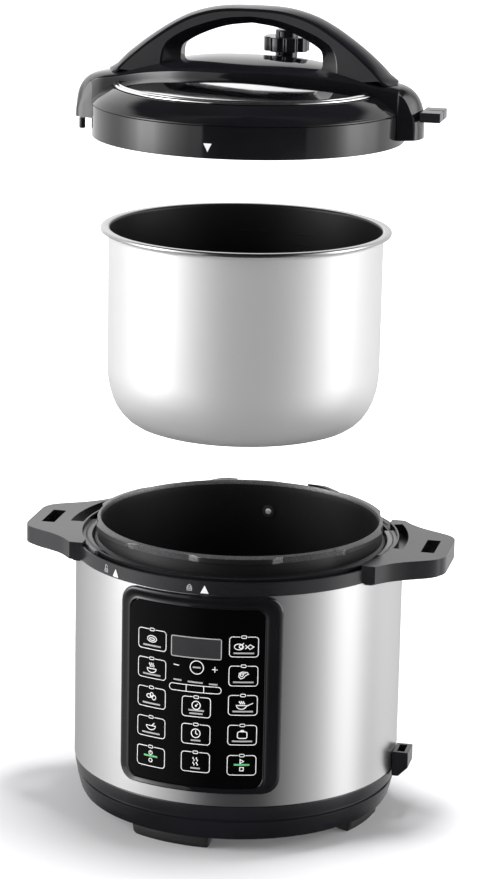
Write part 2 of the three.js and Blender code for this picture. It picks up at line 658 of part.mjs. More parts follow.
addPiece('heater_plate', baseUnit, makeHeaterPlate(), POT_METAL);
addPiece('heating_element', baseUnit, makeElement(), STEEL);
addPiece('sensor_plunger', baseUnit, makeSensor(), STEEL);
addPiece('sensor_cup', baseUnit, makeSensorCup(), STEEL);
addPiece('sensor_spring', baseUnit, makeSensorSpring(), STEEL);

// ---------- electrics inside the base ----------
const BOARD_LOW = BOSS_TOP + GAP;
const PARTS_LOW = BOARD_LOW + BOARD_WALL + GAP;
const UNDER_VESSEL = VESSEL_FLOOR - GAP;

addPiece('power_board', baseUnit, box(-BOARD_HALF_X, BOARD_HALF_X, -BOARD_HALF_Y, BOARD_HALF_Y,
  BOARD_LOW, BOARD_LOW + BOARD_WALL), BOARD);
addPiece('power_relay', baseUnit, box(-36, -8, -18, 2, PARTS_LOW, BOARD_LOW + 20), MATT_BLACK);
addPiece('board_transformer', baseUnit, box(4, 36, -20, 8, PARTS_LOW, BOARD_LOW + 26), MATT_BLACK);
addPiece('pressure_switch', baseUnit, union(disc(16, UNDER_VESSEL - 8, UNDER_VESSEL, -44, 34, MID_ROUND),
  box(-54, -34, 29, 39, UNDER_VESSEL - 18, UNDER_VESSEL - 7)), MATT_BLACK);
addPiece('thermal_fuse', baseUnit, box(30, 62, 30, 38, UNDER_VESSEL - 6, UNDER_VESSEL), WHITE_PLASTIC);

// rear mains inlet: a recessed shell with three contact pins on its back wall
function makeInlet() {
  const outerFace = PANEL_R;
  const back = outerFace - INLET_DEPTH;
  const low = INLET_LOW;
  const high = INLET_HIGH;
  let body = box(-INLET_HALF, INLET_HALF, back, outerFace, low, high);
  const flange = box(-INLET_HALF - 3, INLET_HALF + 3, BODY_R + GAP, outerFace, low - 3, high + 3);
  const recess = sideways([[-14, low + 6], [14, low + 6], [14, high - 12], [9, high - 6], [-9, high - 6],
    [-14, high - 12]], back + 4, outerFace + 1);
  body = body.add(flange).subtract(recess);
  for (const [x, z] of [[-7, low + 15], [0, low + 21], [7, low + 15]]) {
    body = body.add(box(x - 1, x + 1, back + 3, outerFace - 6, z - 2.5, z + 2.5));
  }
  return body;
}

addPiece('power_inlet', baseUnit, makeInlet(), MATT_BLACK);

// ---------- control panel ----------
const PANEL_SEAT = BODY_R + GAP;
const PANEL_WEB = 1.2;
const OVERLAY_R = PANEL_SEAT + PANEL_WEB + GAP;
const BOARD_FRONT = BODY_R - 9.5;

function panelShell(rIn, rOut, outline) {
  const half = 40;
  return sector(rIn, rOut, PANEL_LOW - 5, PANEL_HIGH + 5, -half, half)
    .intersect(sideways(outline, -PANEL_R - 10, -PANEL_R + 80));
}

function makePanelFrame() {
  const frame = panelShell(PANEL_SEAT, PANEL_R, roundRect(-PANEL_HALF, PANEL_HALF, PANEL_LOW, PANEL_HIGH,
    PANEL_CORNER));
  const window = panelShell(PANEL_SEAT + PANEL_WEB, PANEL_R + 5, roundRect(WINDOW_LEFT, WINDOW_RIGHT,
    WINDOW_LOW, WINDOW_HIGH, PANEL_CORNER - 4));
  const webFace = disc(PANEL_SEAT + PANEL_WEB / 2, PANEL_LOW, PANEL_HIGH, 0, 0, ROUND);
  let body = frame.subtract(window);
  for (const x of [WINDOW_LEFT + 22.4, WINDOW_RIGHT - 20.8]) {
    for (const z of [WINDOW_LOW + 23.5, WINDOW_HIGH - 22.5]) {
      const boss = disc(3.5, 0, PANEL_SEAT - BOARD_FRONT, 0, 0, 12).rotate([90, 0, 0]);
      body = body.add(boss.translate([x, -BOARD_FRONT - GAP, z]).intersect(webFace));
    }
  }
  return body;
}

function makeOverlay() {
  const outline = roundRect(WINDOW_LEFT + GAP, WINDOW_RIGHT - GAP, WINDOW_LOW + GAP, WINDOW_HIGH - GAP,
    PANEL_CORNER - 4);
  const hole = sideways(roundRect(-DISPLAY_HALF, DISPLAY_HALF, DISPLAY_LOW, DISPLAY_HIGH, 1.5, 1),
    -PANEL_R - 10, -PANEL_R + 80);
  return panelShell(OVERLAY_R, OVERLAY_R + OVERLAY_WALL, outline).subtract(hole);
}

function makeDisplay() {
  return panelShell(OVERLAY_R, OVERLAY_R + OVERLAY_WALL, roundRect(-DISPLAY_HALF + GAP, DISPLAY_HALF - GAP,
    DISPLAY_LOW + GAP, DISPLAY_HIGH - GAP, 1.2, 1));
}

const panel = new THREE.Group();
panel.rotation.z = radians(PANEL_AZIMUTH);
baseUnit.add(panel);
addPiece('panel_frame', panel, makePanelFrame(), GLOSS);
addPiece('panel_overlay', panel, makeOverlay(), GLOSS);
addPiece('display_window', panel, makeDisplay(), DISPLAY_GLASS);
addPiece('control_board', panel, box(WINDOW_LEFT + 16.4, WINDOW_RIGHT - 14.8,
  -BOARD_FRONT, -BOARD_FRONT + BOARD_WALL, WINDOW_LOW + 13.5, WINDOW_HIGH - 12.5), BOARD);

// ---------- utensil bracket under the right handle ----------
function makeBracket() {
  const reach = BODY_R + 13.5;
  const half = 12;
  const loop = box(BODY_R + GAP, reach, -half, half, BRACKET_LOW, BRACKET_HIGH);
  const eye = box(BODY_R + 3.5, reach - 4, -half + 4, half - 4, BRACKET_LOW - 1, BRACKET_HIGH + 1);
  const taper = sideways([[reach - 9, BRACKET_LOW - 1], [reach + 1, BRACKET_LOW - 1],
    [reach + 1, BRACKET_LOW + 9]], -half - 1, half + 1);
  return loop.subtract(eye).subtract(taper);
}

addPiece('utensil_bracket', baseUnit, makeBracket(), BLACK);

// ---------- inner pot ----------
function makePot() {
  const bendTop = 62;
  const flatR = 78;
  const dish = 2.2;           // the underside is hollowed so it clears the sensor
  const inside = POT_R - POT_WALL;
  const rimLow = POT_HEIGHT - POT_RIM_THICK;
  const outer = [[0, dish], [30, dish], [56, 0], [flatR, 0],
    ...cubic([flatR, 0], [103, 4], [POT_R, 22], [POT_R, bendTop], 4)];
  const rim = [[POT_R, rimLow - 1.5], [POT_R + 1.5, rimLow], [POT_RIM_R - 0.7, rimLow],
    [POT_RIM_R, rimLow + 1], [POT_RIM_R, POT_HEIGHT - 0.8], [POT_RIM_R - 0.8, POT_HEIGHT],
    [POT_R, POT_HEIGHT], [inside, POT_HEIGHT - 1.5]];
  const inner = [[inside, bendTop],
    ...cubic([inside, bendTop], [inside, 23], [102, 5.5], [flatR - 1, POT_WALL], 4),
    [56, POT_WALL], [30, dish + POT_WALL], [0, dish + POT_WALL]];
  return turned([...outer, ...rim, ...inner]);
}

addPiece('inner_pot', potUnit, makePot(), POT_METAL);

// ---------- sealing ring ----------
addPiece('sealing_ring', lidUnit, turned([[SEAL_R_IN, SEAL_UNDER + 1.5], [SEAL_R_IN + 1.5, SEAL_UNDER],
  [SEAL_R_OUT, SEAL_UNDER + 1], [SEAL_R_OUT, PLATE_UNDER - GAP], [SEAL_R_IN, PLATE_UNDER - GAP]]), SILICONE);

// ---------- lid cover, dome and trim ----------
const SKIRT_WALL = 2;
const COVER_BORE = DOME_R + GAP;
const SEAT_Z = DOME_EDGE - 1.2;
const DOME_RADIUS = (DOME_R ** 2 + (DOME_TOP - DOME_EDGE) ** 2) / (2 * (DOME_TOP - DOME_EDGE));

// height of the dome's outer face at a radius
function domeHeight(r) {
  return DOME_TOP - DOME_RADIUS + Math.sqrt(DOME_RADIUS ** 2 - r ** 2);
}

function domeLine(lift) {
  const steps = 5;
  const points = [];
  for (let i = 0; i <= steps; i += 1) {
    const r = (DOME_R * i) / steps;
    points.push([r, domeHeight(r) + lift]);
  }
  return points;
}

const coverShoulder = [[SKIRT_R, SKIRT_HEIGHT - 1.5], [SKIRT_R - 1.2, SKIRT_HEIGHT + 1],
  [SKIRT_R - 8, SKIRT_HEIGHT + 8], [TRIM_R + 3.5, SEAT_Z]];

function makeLidCover() {
  return turned([
    [SKIRT_R - SKIRT_WALL, 0], [SKIRT_R, 0], ...coverShoulder, [COVER_BORE, SEAT_Z],
    [COVER_BORE, SEAT_Z - 2], [TRIM_R + 3, SEAT_Z - 2], [SKIRT_R - 9, SKIRT_HEIGHT + 5.6],
    [SKIRT_R - 3, SKIRT_HEIGHT], [SKIRT_R - SKIRT_WALL, SKIRT_HEIGHT - 1.5],
  ]);
}

function makeTrim() {
  const half = 2.4;
  const low = SEAT_Z + GAP;
  return turned([[TRIM_R - half, low], [TRIM_R + half, low], [TRIM_R + half, low + 1.2],
    [TRIM_R + 1.2, low + 2.6], [TRIM_R - 1.2, low + 2.6], [TRIM_R - half, low + 1.2]]);
}

function pipeHoles(solidBody, low, high) {
  return solidBody
    .subtract(disc(PIPE_R + GAP, low, high, KNOB_X, KNOB_Y))
    .subtract(disc(FLOAT_R + 0.8, low, high, FLOAT_X, FLOAT_Y));
}

function makeDome() {
  const upper = domeLine(0);
  const lower = domeLine(-DOME_WALL);
  return pipeHoles(turned([...lower, ...upper.reverse()]), 30, 70);
}

addPiece('lid_cover', lidUnit, makeLidCover(), BLACK);
addPiece('trim_ring', lidUnit, makeTrim(), POLISHED);
addPiece('lid_dome', lidUnit, makeDome(), POLISHED);

// ---------- bridge across the lid, with its end blocks ----------
const LEFT_END_LOW = 10;
const RIGHT_END_LOW = 5;
const crown = [[0, BRIDGE_TOP], [57, BRIDGE_TOP - 2], [114, BRIDGE_TOP - 7]];
const endCurve = [[129, BRIDGE_TOP - 11.5], [138, BRIDGE_TOP - 17], [142.5, BRIDGE_TOP - 21.5],
  [BRIDGE_REACH - 1, BRIDGE_TOP - 28], [BRIDGE_REACH, BRIDGE_TOP - 39]];

// what the bridge sits on: skirt, shoulder, trim and dome, with the seat gap added
function lidTopKeepOut() {
  const edge = SKIRT_R + GAP + 0.1;
  const raised = coverShoulder.map(([r, z]) => [r + GAP, z + GAP]);
  const trimOut = TRIM_R + 2.4 + GAP;
  const trimTop = SEAT_Z + GAP + 2.6 + GAP;
  const dome = domeLine(GAP).reverse();
  return turned([[0, -20], [edge, -20], ...raised, [trimOut, SEAT_Z + GAP], [trimOut, trimTop],
    ...dome.map(([r, z]) => [r, Math.max(z, r > DOME_R - 1 ? trimTop : z)])]);
}

function makeBridge() {
  const right = [...crown, ...endCurve, [BRIDGE_REACH, RIGHT_END_LOW], [SKIRT_R - 4, RIGHT_END_LOW],
    [SKIRT_R - 4, 20], [0, 20]];
  const left = mirrored([...crown, ...endCurve, [BRIDGE_REACH, LEFT_END_LOW], [SKIRT_R - 4, LEFT_END_LOW],
    [SKIRT_R - 4, 20], [0, 20]]);
  const outline = [...left.slice(1, -1), ...right];
  const planSide = [[0, 45], [40, 42], [75, 34], [105, 25], [BRIDGE_REACH - 4, 23], [BRIDGE_REACH + 1, 18]];
  const upper = [...mirrored(planSide).slice(0, -1), ...planSide];
  const plan = [...upper, ...upper.map(([x, y]) => [x, -y]).reverse()];
  const slope = [[-60, 0], [60, 0], [60, BRIDGE_TOP - 8], [45, BRIDGE_TOP - 4], [20, BRIDGE_TOP - 0.6],
    [0, BRIDGE_TOP + 1], [-20, BRIDGE_TOP - 0.6], [-45, BRIDGE_TOP - 4], [-60, BRIDGE_TOP - 8]];
  const body = sideways(outline, -50, 50)
    .intersect(upright(plan, -5, 80))
    .intersect(lengthways(slope, -BRIDGE_REACH - 5, BRIDGE_REACH + 5))
    .subtract(lidTopKeepOut());
  return pipeHoles(body, 30, 70);
}

// ---------- carrying handle ----------
const archOuter = new THREE.CatmullRomCurve3([
  [-ARCH_FOOT, BRIDGE_TOP - 5.5], [-100, ARCH_TOP - 35.6], [-80, ARCH_TOP - 19.6], [-58, ARCH_TOP - 8.6],
  [-30, ARCH_TOP - 1.8], [0, ARCH_TOP], [30, ARCH_TOP - 1.8], [58, ARCH_TOP - 8.6], [80, ARCH_TOP - 19.6],
  [100, ARCH_TOP - 35.6], [ARCH_FOOT, BRIDGE_TOP - 5.5],
].map(([x, z]) => new THREE.Vector3(x, z, 0)));

// the handle's outer line, moved inwards by a wall
function archLine(inset, steps) {
  const points = [];
  for (let i = 0; i <= steps; i += 1) {
    const p = archOuter.getPointAt(i / steps);
    const t = archOuter.getTangentAt(i / steps);
    points.push([p.x + t.y * inset, p.y - t.x * inset]);
  }
  return points;
}

const ARCH_STEPS = 24;
const GRIP_UNDER = ARCH_TOP - ARCH_BAR;

// everything under the top line of the bridge, with the seat gap added
function bridgeSpace() {
  const half = [...crown, ...endCurve].map(([x, z]) => [x, z + GAP + 0.05]);
  const line = [...mirrored(half).slice(0, -1), ...half];
  const low = BRIDGE_TOP - 50;
  return sideways([...line, [BRIDGE_REACH, low], [-BRIDGE_REACH, low]], -50, 50);
}

function makeArch() {
  const outer = archLine(CAP_WALL + GAP, ARCH_STEPS);
  const opening = [[57, 40], [57, GRIP_UNDER - 23], [53, GRIP_UNDER - 16], [45, GRIP_UNDER - 11.5],
    [28, GRIP_UNDER - 4], [0, GRIP_UNDER], [-28, GRIP_UNDER - 4], [-45, GRIP_UNDER - 11.5],
    [-53, GRIP_UNDER - 16], [-57, GRIP_UNDER - 23], [-57, 40]];
  const left = outer[0];
  const right = outer[outer.length - 1];
  const outline = [[left[0], 40], ...outer, [right[0], 40], ...opening];
  return sideways(outline, -ARCH_HALF_WIDTH, ARCH_HALF_WIDTH).subtract(bridgeSpace());
}

function makeArchCap() {
  const outer = archLine(0, ARCH_STEPS);
  const inner = archLine(CAP_WALL, ARCH_STEPS);
  return sideways([...outer, ...inner.reverse()], -ARCH_HALF_WIDTH, ARCH_HALF_WIDTH).subtract(bridgeSpace());
}

addPiece('lid_bridge', lidUnit, makeBridge(), BLACK);
addPiece('handle_arch', lidUnit, makeArch(), BLACK);
addPiece('handle_cap', lidUnit, makeArchCap(), BLACK);

// tab that parks the lid upright in a handle slot of the base
const TAB_LOW = 20;
const TAB_HALF = (SLOT_LONG - TAB_SIDE_PLAY) / 2;
const TAB_THICK = SLOT_WIDE - TAB_PLAY;
const TAB_IN = BRIDGE_REACH + GAP;
addPiece('stand_tab', lidUnit,
  box(TAB_IN, TAB_IN + TAB_LENGTH, -TAB_HALF, TAB_HALF, TAB_LOW, TAB_LOW + TAB_THICK), BLACK);
const PIN_AZIMUTH = -84;
const guidePin = addPiece('guide_pin', lidUnit, disc(2.5, 1.5, LEFT_END_LOW - GAP), BLACK);
guidePin.position.set(...polar(GUIDE_MIDDLE, PIN_AZIMUTH), 0);

// ---------- pressure plate and what it carries ----------
const PLATE_BORE = LUG_R + 0.8;
const PLATE_TOP = PLATE_UNDER + PLATE_WALL;
const LID_LUG_CENTRE = LUG_AZIMUTH + 5;

function makePressurePlate() {
  const body = turned([
    [0, PLATE_UNDER + 3], [60, PLATE_UNDER + 3], [98, PLATE_UNDER], [PLATE_BORE, PLATE_UNDER],
    [PLATE_BORE, LID_LUG_LOW], [PLATE_R, LID_LUG_LOW], [PLATE_R, PLATE_UNDER], [PLATE_R - 1.8, PLATE_TOP],
    [98, PLATE_TOP], [60, PLATE_TOP + 3], [0, PLATE_TOP + 3],
  ]);
  const lugs = lugRing(LUG_COUNT, LID_LUG_SPAN, LID_LUG_CENTRE, NECK_R + 0.6, PLATE_BORE + 0.6,
    LID_LUG_LOW, LID_LUG_LOW + LID_LUG_THICK);
  return pipeHoles(union(body, ...lugs), 0, 60);
}

const RACK_R = SEAL_R_IN - 0.5;
addPiece('pressure_plate', lidUnit, makePressurePlate(), POLISHED);
addPiece('seal_rack', lidUnit, turned([[RACK_R - 3, PLATE_UNDER - 4], [RACK_R, PLATE_UNDER - 4],
  [RACK_R, PLATE_UNDER - GAP], [RACK_R - 3, PLATE_UNDER - GAP]]), STEEL);
addPiece('centre_spacer', lidUnit,
  disc(9, PLATE_TOP + 3 + GAP, DOME_TOP - DOME_WALL - 1, 0, 0, MID_ROUND), BLACK);

const KNOB_LOW = BRIDGE_TOP + 0.7;
const KNOB_TOP = KNOB_LOW + 16;

const steamPipe = addPiece('steam_pipe', lidUnit, turned([[2, PLATE_UNDER - 1], [PIPE_R, PLATE_UNDER - 1],
  [PIPE_R, KNOB_TOP - 7], [2, KNOB_TOP - 5]], SMALL_ROUND), POLISHED);
steamPipe.position.set(KNOB_X, KNOB_Y, 0);

// round grip body with a ring of finger flutes and a raised centre
function makeSteamKnob() {
  let body = union(disc(KNOB_R, KNOB_LOW, KNOB_TOP, 0, 0, 32),
    disc(KNOB_R / 2, KNOB_TOP - 1, KNOB_TOP + 5.5, 0, 0, MID_ROUND));
  const flutes = 8;
  for (let i = 0; i < flutes; i += 1) {
    const [x, y] = polar(KNOB_R + 3, (360 / flutes) * i);
    body = body.subtract(disc(5, KNOB_LOW + 3, KNOB_TOP + 1, x, y, 12));
  }
  return body.subtract(disc(PIPE_R + 0.5, KNOB_LOW - 1, KNOB_TOP - 3, 0, 0, SMALL_ROUND));
}

const knob = addPiece('steam_knob', lidUnit, makeSteamKnob(), BLACK);
knob.position.set(KNOB_X, KNOB_Y, 0);

const SHIELD_R = 14;
const SHIELD_TOP = PLATE_UNDER + 3 - GAP;
const SHIELD_LOW = PLATE_UNDER - 8;
const shield = addPiece('anti_block_shield', lidUnit, turned([
  [PIPE_R + GAP, SHIELD_TOP], [SHIELD_R, SHIELD_TOP], [SHIELD_R, SHIELD_LOW], [SHIELD_R - 1.5, SHIELD_LOW],
  [SHIELD_R - 1.5, SHIELD_TOP - 3], [PIPE_R + GAP, SHIELD_TOP - 3]], MID_ROUND), STEEL);
shield.position.set(KNOB_X, KNOB_Y, 0);

const FLOAT_HEAD = BRIDGE_TOP - 0.5;
const floatParts = [
  ['float_valve', turned([[0, PLATE_UNDER - 10], [6, PLATE_UNDER - 10], [6, PLATE_UNDER - 5.5],
    [FLOAT_R, PLATE_UNDER - 5.5], [FLOAT_R, FLOAT_HEAD], [0, FLOAT_HEAD]], SMALL_ROUND), STEEL],
  ['float_seal', tubeRing(FLOAT_R + GAP, 6.5, PLATE_UNDER - 0.5, SHIELD_TOP, SMALL_ROUND), SILICONE],
  ['float_guide', tubeRing(FLOAT_R + GAP, 7, PLATE_TOP + 3 + GAP, PLATE_TOP + 12, SMALL_ROUND), STEEL],
];
for (const [name, body, finish] of floatParts) {
  addPiece(name, lidUnit, body, finish).position.set(FLOAT_X, FLOAT_Y, 0);
}

export default cooker;
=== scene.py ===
# Electric pressure cooker, drawn apart on one axis: base unit, inner pot and twist-lock lid.
import math

import bmesh
import bpy
from mathutils import Matrix, Vector


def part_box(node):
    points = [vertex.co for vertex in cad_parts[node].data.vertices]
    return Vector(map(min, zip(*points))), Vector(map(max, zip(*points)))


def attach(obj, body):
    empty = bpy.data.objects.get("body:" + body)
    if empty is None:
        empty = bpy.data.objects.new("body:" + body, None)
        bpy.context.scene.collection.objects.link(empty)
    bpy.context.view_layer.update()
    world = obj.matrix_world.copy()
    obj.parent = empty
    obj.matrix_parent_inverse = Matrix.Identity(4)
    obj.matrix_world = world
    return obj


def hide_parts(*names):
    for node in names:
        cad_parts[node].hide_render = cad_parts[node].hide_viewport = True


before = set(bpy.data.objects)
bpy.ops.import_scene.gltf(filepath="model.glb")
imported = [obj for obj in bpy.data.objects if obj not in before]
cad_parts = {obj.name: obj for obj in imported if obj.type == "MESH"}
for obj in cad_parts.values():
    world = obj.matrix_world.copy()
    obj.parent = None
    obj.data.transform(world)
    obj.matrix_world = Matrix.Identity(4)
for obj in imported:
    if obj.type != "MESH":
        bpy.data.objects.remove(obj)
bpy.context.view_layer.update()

# ---------- main sizes, in millimetres, read from the CAD nodes where a node's box gives them ----------
MM = 0.001
ROUND = 144                    # steps on a full turn
MERGE = 1e-3                   # points this near to each other become one
CUT_MERGE = 0.01               # the same, after a cut


def span(name):
    """Lowest and highest corner of a CAD node, in millimetres."""
    low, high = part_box(name)
    return Vector(low) / MM, Vector(high) / MM


def middle_of(name):
    """Where an upright round piece stands."""
    low, high = span(name)
    return ((low + high) / 2).xy


BODY_R = span("body_wrap")[1].x
WRAP_LOW = span("body_wrap")[0].z
WRAP_TOP = span("body_wrap")[1].z
HOUSING_LOW = span("base_housing")[0].z
HANDLE_TOP = span("side_handle_left")[1].z
HANDLE_REACH = span("side_handle_right")[1].x
COLLAR_TOP = HANDLE_TOP - 3.2
COLLAR_R = BODY_R + 0.6
COLLAR_BORE = COLLAR_R - 5.8
REAR_WALL_TOP = span("collar_rim_rear")[1].z
VESSEL_RIM = span("pressure_vessel")[1].z
VESSEL_FLOOR = span("pressure_vessel")[0].z
VESSEL_R = 114.5               # the vessel's inner wall
NECK_R = 118.3                 # the outside of its neck
LUG_R = 121.5                  # the outer ends of its lugs
PANEL_R = BODY_R + 3.5
PANEL_LOW = span("panel_frame")[0].z
PANEL_HIGH = span("panel_frame")[1].z
PANEL_AZIMUTH = -1.6           # the panel's middle, in degrees
OVERLAY_R = PANEL_R - 0.8
POT_LOW = span("inner_pot")[0].z
POT_HIGH = span("inner_pot")[1].z
POT_R = 111.5                  # the pot's outer wall
LID_LOW = span("lid_cover")[0].z
SKIRT_R = 126.0                # the lid's upright skirt
DOME_R = 103.5                 # the edge of the steel dome
TRIM_R = 106.3                 # the middle of the trim ring's width
KNOB_SPOT = (22.0, 38.0)       # where the steam knob stands


# ---------- shaping ----------
def polar(r, azimuth, z=0.0):
    """A point on a circle. Azimuth 0 is the front and 90 the right handle."""
    a = math.radians(azimuth)
    return Vector((r * math.sin(a), -r * math.cos(a), z))


def tidy(bm):
    """Joins doubled points, drops empty edges and turns the faces outward."""
    bmesh.ops.remove_doubles(bm, verts=bm.verts, dist=MERGE)
    bmesh.ops.dissolve_degenerate(bm, edges=bm.edges, dist=MERGE)
    bmesh.ops.recalc_face_normals(bm, faces=bm.faces)
    return bm


def turned(profile, steps=ROUND, middle=(0.0, 0.0)):
    """A closed line of (radius, height) points, spun a full turn round an upright axis."""
    bm = bmesh.new()
    verts = [bm.verts.new((middle[0], middle[1] - r, z)) for r, z in profile]
    edges = [bm.edges.new((a, b)) for a, b in zip(verts, verts[1:] + verts[:1])]
    bmesh.ops.spin(bm, geom=verts + edges, cent=(*middle, 0), axis=(0, 0, 1), dvec=(0, 0, 0),
                   angle=2 * math.pi, steps=steps, use_merge=True, use_duplicate=False)
    return tidy(bm)


def arc_block(profile, start, end, step=2.5):
    """A closed line of (radius, height) points, spun between two azimuths, with both ends closed."""
    bm = bmesh.new()
    face = bm.faces.new([bm.verts.new(polar(r, start, z)) for r, z in profile])
    bmesh.ops.spin(bm, geom=[face, *face.edges, *face.verts], cent=(0, 0, 0), axis=(0, 0, 1),
                   dvec=(0, 0, 0), angle=math.radians(end - start),
                   steps=max(1, round((end - start) / step)), use_merge=False, use_duplicate=False)
    return tidy(bm)


def oblong(r0, r1, z0, z1):
    """A section with four corners."""
    return [(r0, z0), (r1, z0), (r1, z1), (r0, z1)]


def rod(r, z0, z1, steps=ROUND, middle=(0.0, 0.0)):
    """An upright cylinder."""
    return turned(oblong(0.0, r, z0, z1), steps, middle)


def plate(outline, z0, z1):
    """An outline of (x, y) points, given a thickness from z0 up to z1."""
    bm = bmesh.new()
    face = bm.faces.new([bm.verts.new((x, y, z0)) for x, y in outline])
    grown = bmesh.ops.extrude_face_region(bm, geom=[face])["geom"]
    raised = [v for v in grown if isinstance(v, bmesh.types.BMVert)]
    bmesh.ops.translate(bm, vec=(0, 0, z1 - z0), verts=raised)
    return tidy(bm)


def upended(bm, y0):
    """Turns a plate so that its outline stands in XZ and its thickness runs along +Y from y0."""
    bmesh.ops.transform(bm, matrix=Matrix(((1, 0, 0, 0), (0, 0, 1, y0), (0, 1, 0, 0), (0, 0, 0, 1))),
                        verts=bm.verts)
    return tidy(bm)


def block(x0, x1, y0, y1, z0, z1):
    return plate([(x0, y0), (x1, y0), (x1, y1), (x0, y1)], z0, z1)


def loft(loops, closed=False):
    """Rows of points joined into a skin: a ring if closed, else with both ends filled."""
    bm = bmesh.new()
    rows = []
    for loop in loops:
        verts = [bm.verts.new(p) for p in loop]
        rows.append([bm.edges.new((a, b)) for a, b in zip(verts, verts[1:] + verts[:1])])
    pairs = list(zip(rows, rows[1:]))
    if closed:
        pairs.append((rows[-1], rows[0]))
    for first, second in pairs:
        bmesh.ops.bridge_loops(bm, edges=first + second)
    if not closed:
        for row in (rows[0], rows[-1]):
            bmesh.ops.edgeloop_fill(bm, edges=row)
    return tidy(bm)


def smooth_line(points, steps):
    """Points along a smooth curve through the given ones."""
    points = [Vector(p) for p in points]
    last = len(points) - 1
    line = []
    for i in range(last):
        a, b, c, d = (points[min(max(i + k, 0), last)] for k in (-1, 0, 1, 2))
        for k in range(steps):
            t = k / steps
            line.append(0.5 * (2 * b + (c - a) * t + (2 * a - 5 * b + 4 * c - d) * t * t
                               + (3 * b - a - 3 * c + d) * t ** 3))
    return line + [points[-1]]


def added(*shapes):
    """Several shapes as one mesh."""
    bm = shapes[0]
    for other in shapes[1:]:
        mesh = bpy.data.meshes.new("part")
        other.to_mesh(mesh)
        other.free()
        bm.from_mesh(mesh)
        bpy.data.meshes.remove(mesh)
    return bm


def carved(bm, other, operation="DIFFERENCE"):
    """bm with another closed shape cut from it, joined to it, or kept as what both share."""
    objects = []
    for shape in (bm, other):
        mesh = bpy.data.meshes.new("part")
        shape.to_mesh(mesh)
        shape.free()
        obj = bpy.data.objects.new("part", mesh)
        bpy.context.collection.objects.link(obj)
        objects.append(obj)
    cut = objects[0].modifiers.new("cut", "BOOLEAN")
    cut.operation = operation
    cut.solver = "EXACT"
    cut.object = objects[1]
    result = objects[0].evaluated_get(bpy.context.evaluated_depsgraph_get())
    out = bmesh.new()
    out.from_mesh(result.to_mesh())
    result.to_mesh_clear()
    for obj in objects:
        mesh = obj.data
        bpy.data.objects.remove(obj)
        bpy.data.meshes.remove(mesh)
    bmesh.ops.remove_doubles(out, verts=out.verts, dist=CUT_MERGE)
    bmesh.ops.dissolve_degenerate(out, edges=out.edges, dist=CUT_MERGE)
    return out


def piece(name, bm, body, finishes, stands_for=(), bevel=0.0, segments=2, angle=32):
    """A finished piece: its mesh in metres, its materials, its edges, and the CAD body it rides on."""
    bmesh.ops.transform(bm, matrix=Matrix.Scale(MM, 4), verts=bm.verts)
    for face in bm.faces:
        face.smooth = True
    mesh = bpy.data.meshes.new(name)
    bm.to_mesh(mesh)
    bm.free()
    obj = bpy.data.objects.new(name, mesh)
    bpy.context.collection.objects.link(obj)
    for finish in finishes if isinstance(finishes, (list, tuple)) else [finishes]:
        mesh.materials.append(finish)
    if bevel:
        edge = obj.modifiers.new("edges", "BEVEL")
        edge.width = bevel * MM
        edge.segments = segments
        edge.limit_method = "ANGLE"
        edge.angle_limit = math.radians(angle)
        edge.use_clamp_overlap = True
    else:
        mesh.set_sharp_from_angle(angle=math.radians(angle))
    flat = obj.modifiers.new("flats", "WEIGHTED_NORMAL")
    flat.keep_sharp = True
    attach(obj, body)
    if stands_for:
        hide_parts(*([stands_for] if isinstance(stands_for, str) else stands_for))
    return obj


def paint(bm, index, wanted=None):
    """Gives a finish to all faces, or to those whose centre and normal pass a test."""
    for face in bm.faces:
        if wanted is None or wanted(face.calc_center_median(), face.normal):
            face.material_index = index
    return bm


# ---------- shared shader effects ----------
def new_group(name, inputs, outputs):
    group = bpy.data.node_groups.new(name, "ShaderNodeTree")
    for kind, label, value in inputs:
        socket = group.interface.new_socket(name=label, in_out="INPUT", socket_type="NodeSocket" + kind)
        if value is not None:
            socket.default_value = value
    for kind, label in outputs:
        group.interface.new_socket(name=label, in_out="OUTPUT", socket_type="NodeSocket" + kind)
    return group, group.nodes.new("NodeGroupInput"), group.nodes.new("NodeGroupOutput")


def node(tree, kind, **settings):
    made = tree.nodes.new("ShaderNode" + kind)
    for key, value in settings.items():
        if hasattr(made, key):
            setattr(made, key, value)
        else:
            made.inputs[key.replace("_", " ")].default_value = value
    return made


def wire(tree, *links):
    """Joins nodes; each link is a node, its output, the next node and its input."""
    for start, output, end, socket in links:
        tree.links.new(start.outputs[output], end.inputs[socket])


def mix_colors(tree, factor, first, second):
    """A colour mix; factor, first and second are sockets or values."""
    mix = tree.nodes.new("ShaderNodeMix")
    mix.data_type = "RGBA"
    for socket, value in ((mix.inputs[0], factor), (mix.inputs[6], first), (mix.inputs[7], second)):
        if isinstance(value, bpy.types.NodeSocket):
            tree.links.new(value, socket)
        else:
            socket.default_value = value
    return mix.outputs[2]


def make_tone_drift():
    """Two tones that drift into one another over a few centimetres."""
    group, source, target = new_group("tone_drift", [
        ("Vector", "Vector", None), ("Float", "Scale", 12.0),
        ("Color", "Tone A", (0.5, 0.5, 0.5, 1)), ("Color", "Tone B", (0.5, 0.5, 0.5, 1))],
        [("Color", "Color")])
    cloud = node(group, "TexNoise", Detail=3.0, Roughness=0.55)
    spread = node(group, "MapRange", From_Min=0.3, From_Max=0.7)
    wire(group, (source, "Vector", cloud, "Vector"), (source, "Scale", cloud, "Scale"),
         (cloud, "Fac", spread, "Value"))
    group.links.new(mix_colors(group, spread.outputs["Result"], source.outputs["Tone A"],
                               source.outputs["Tone B"]), target.inputs["Color"])
    return group


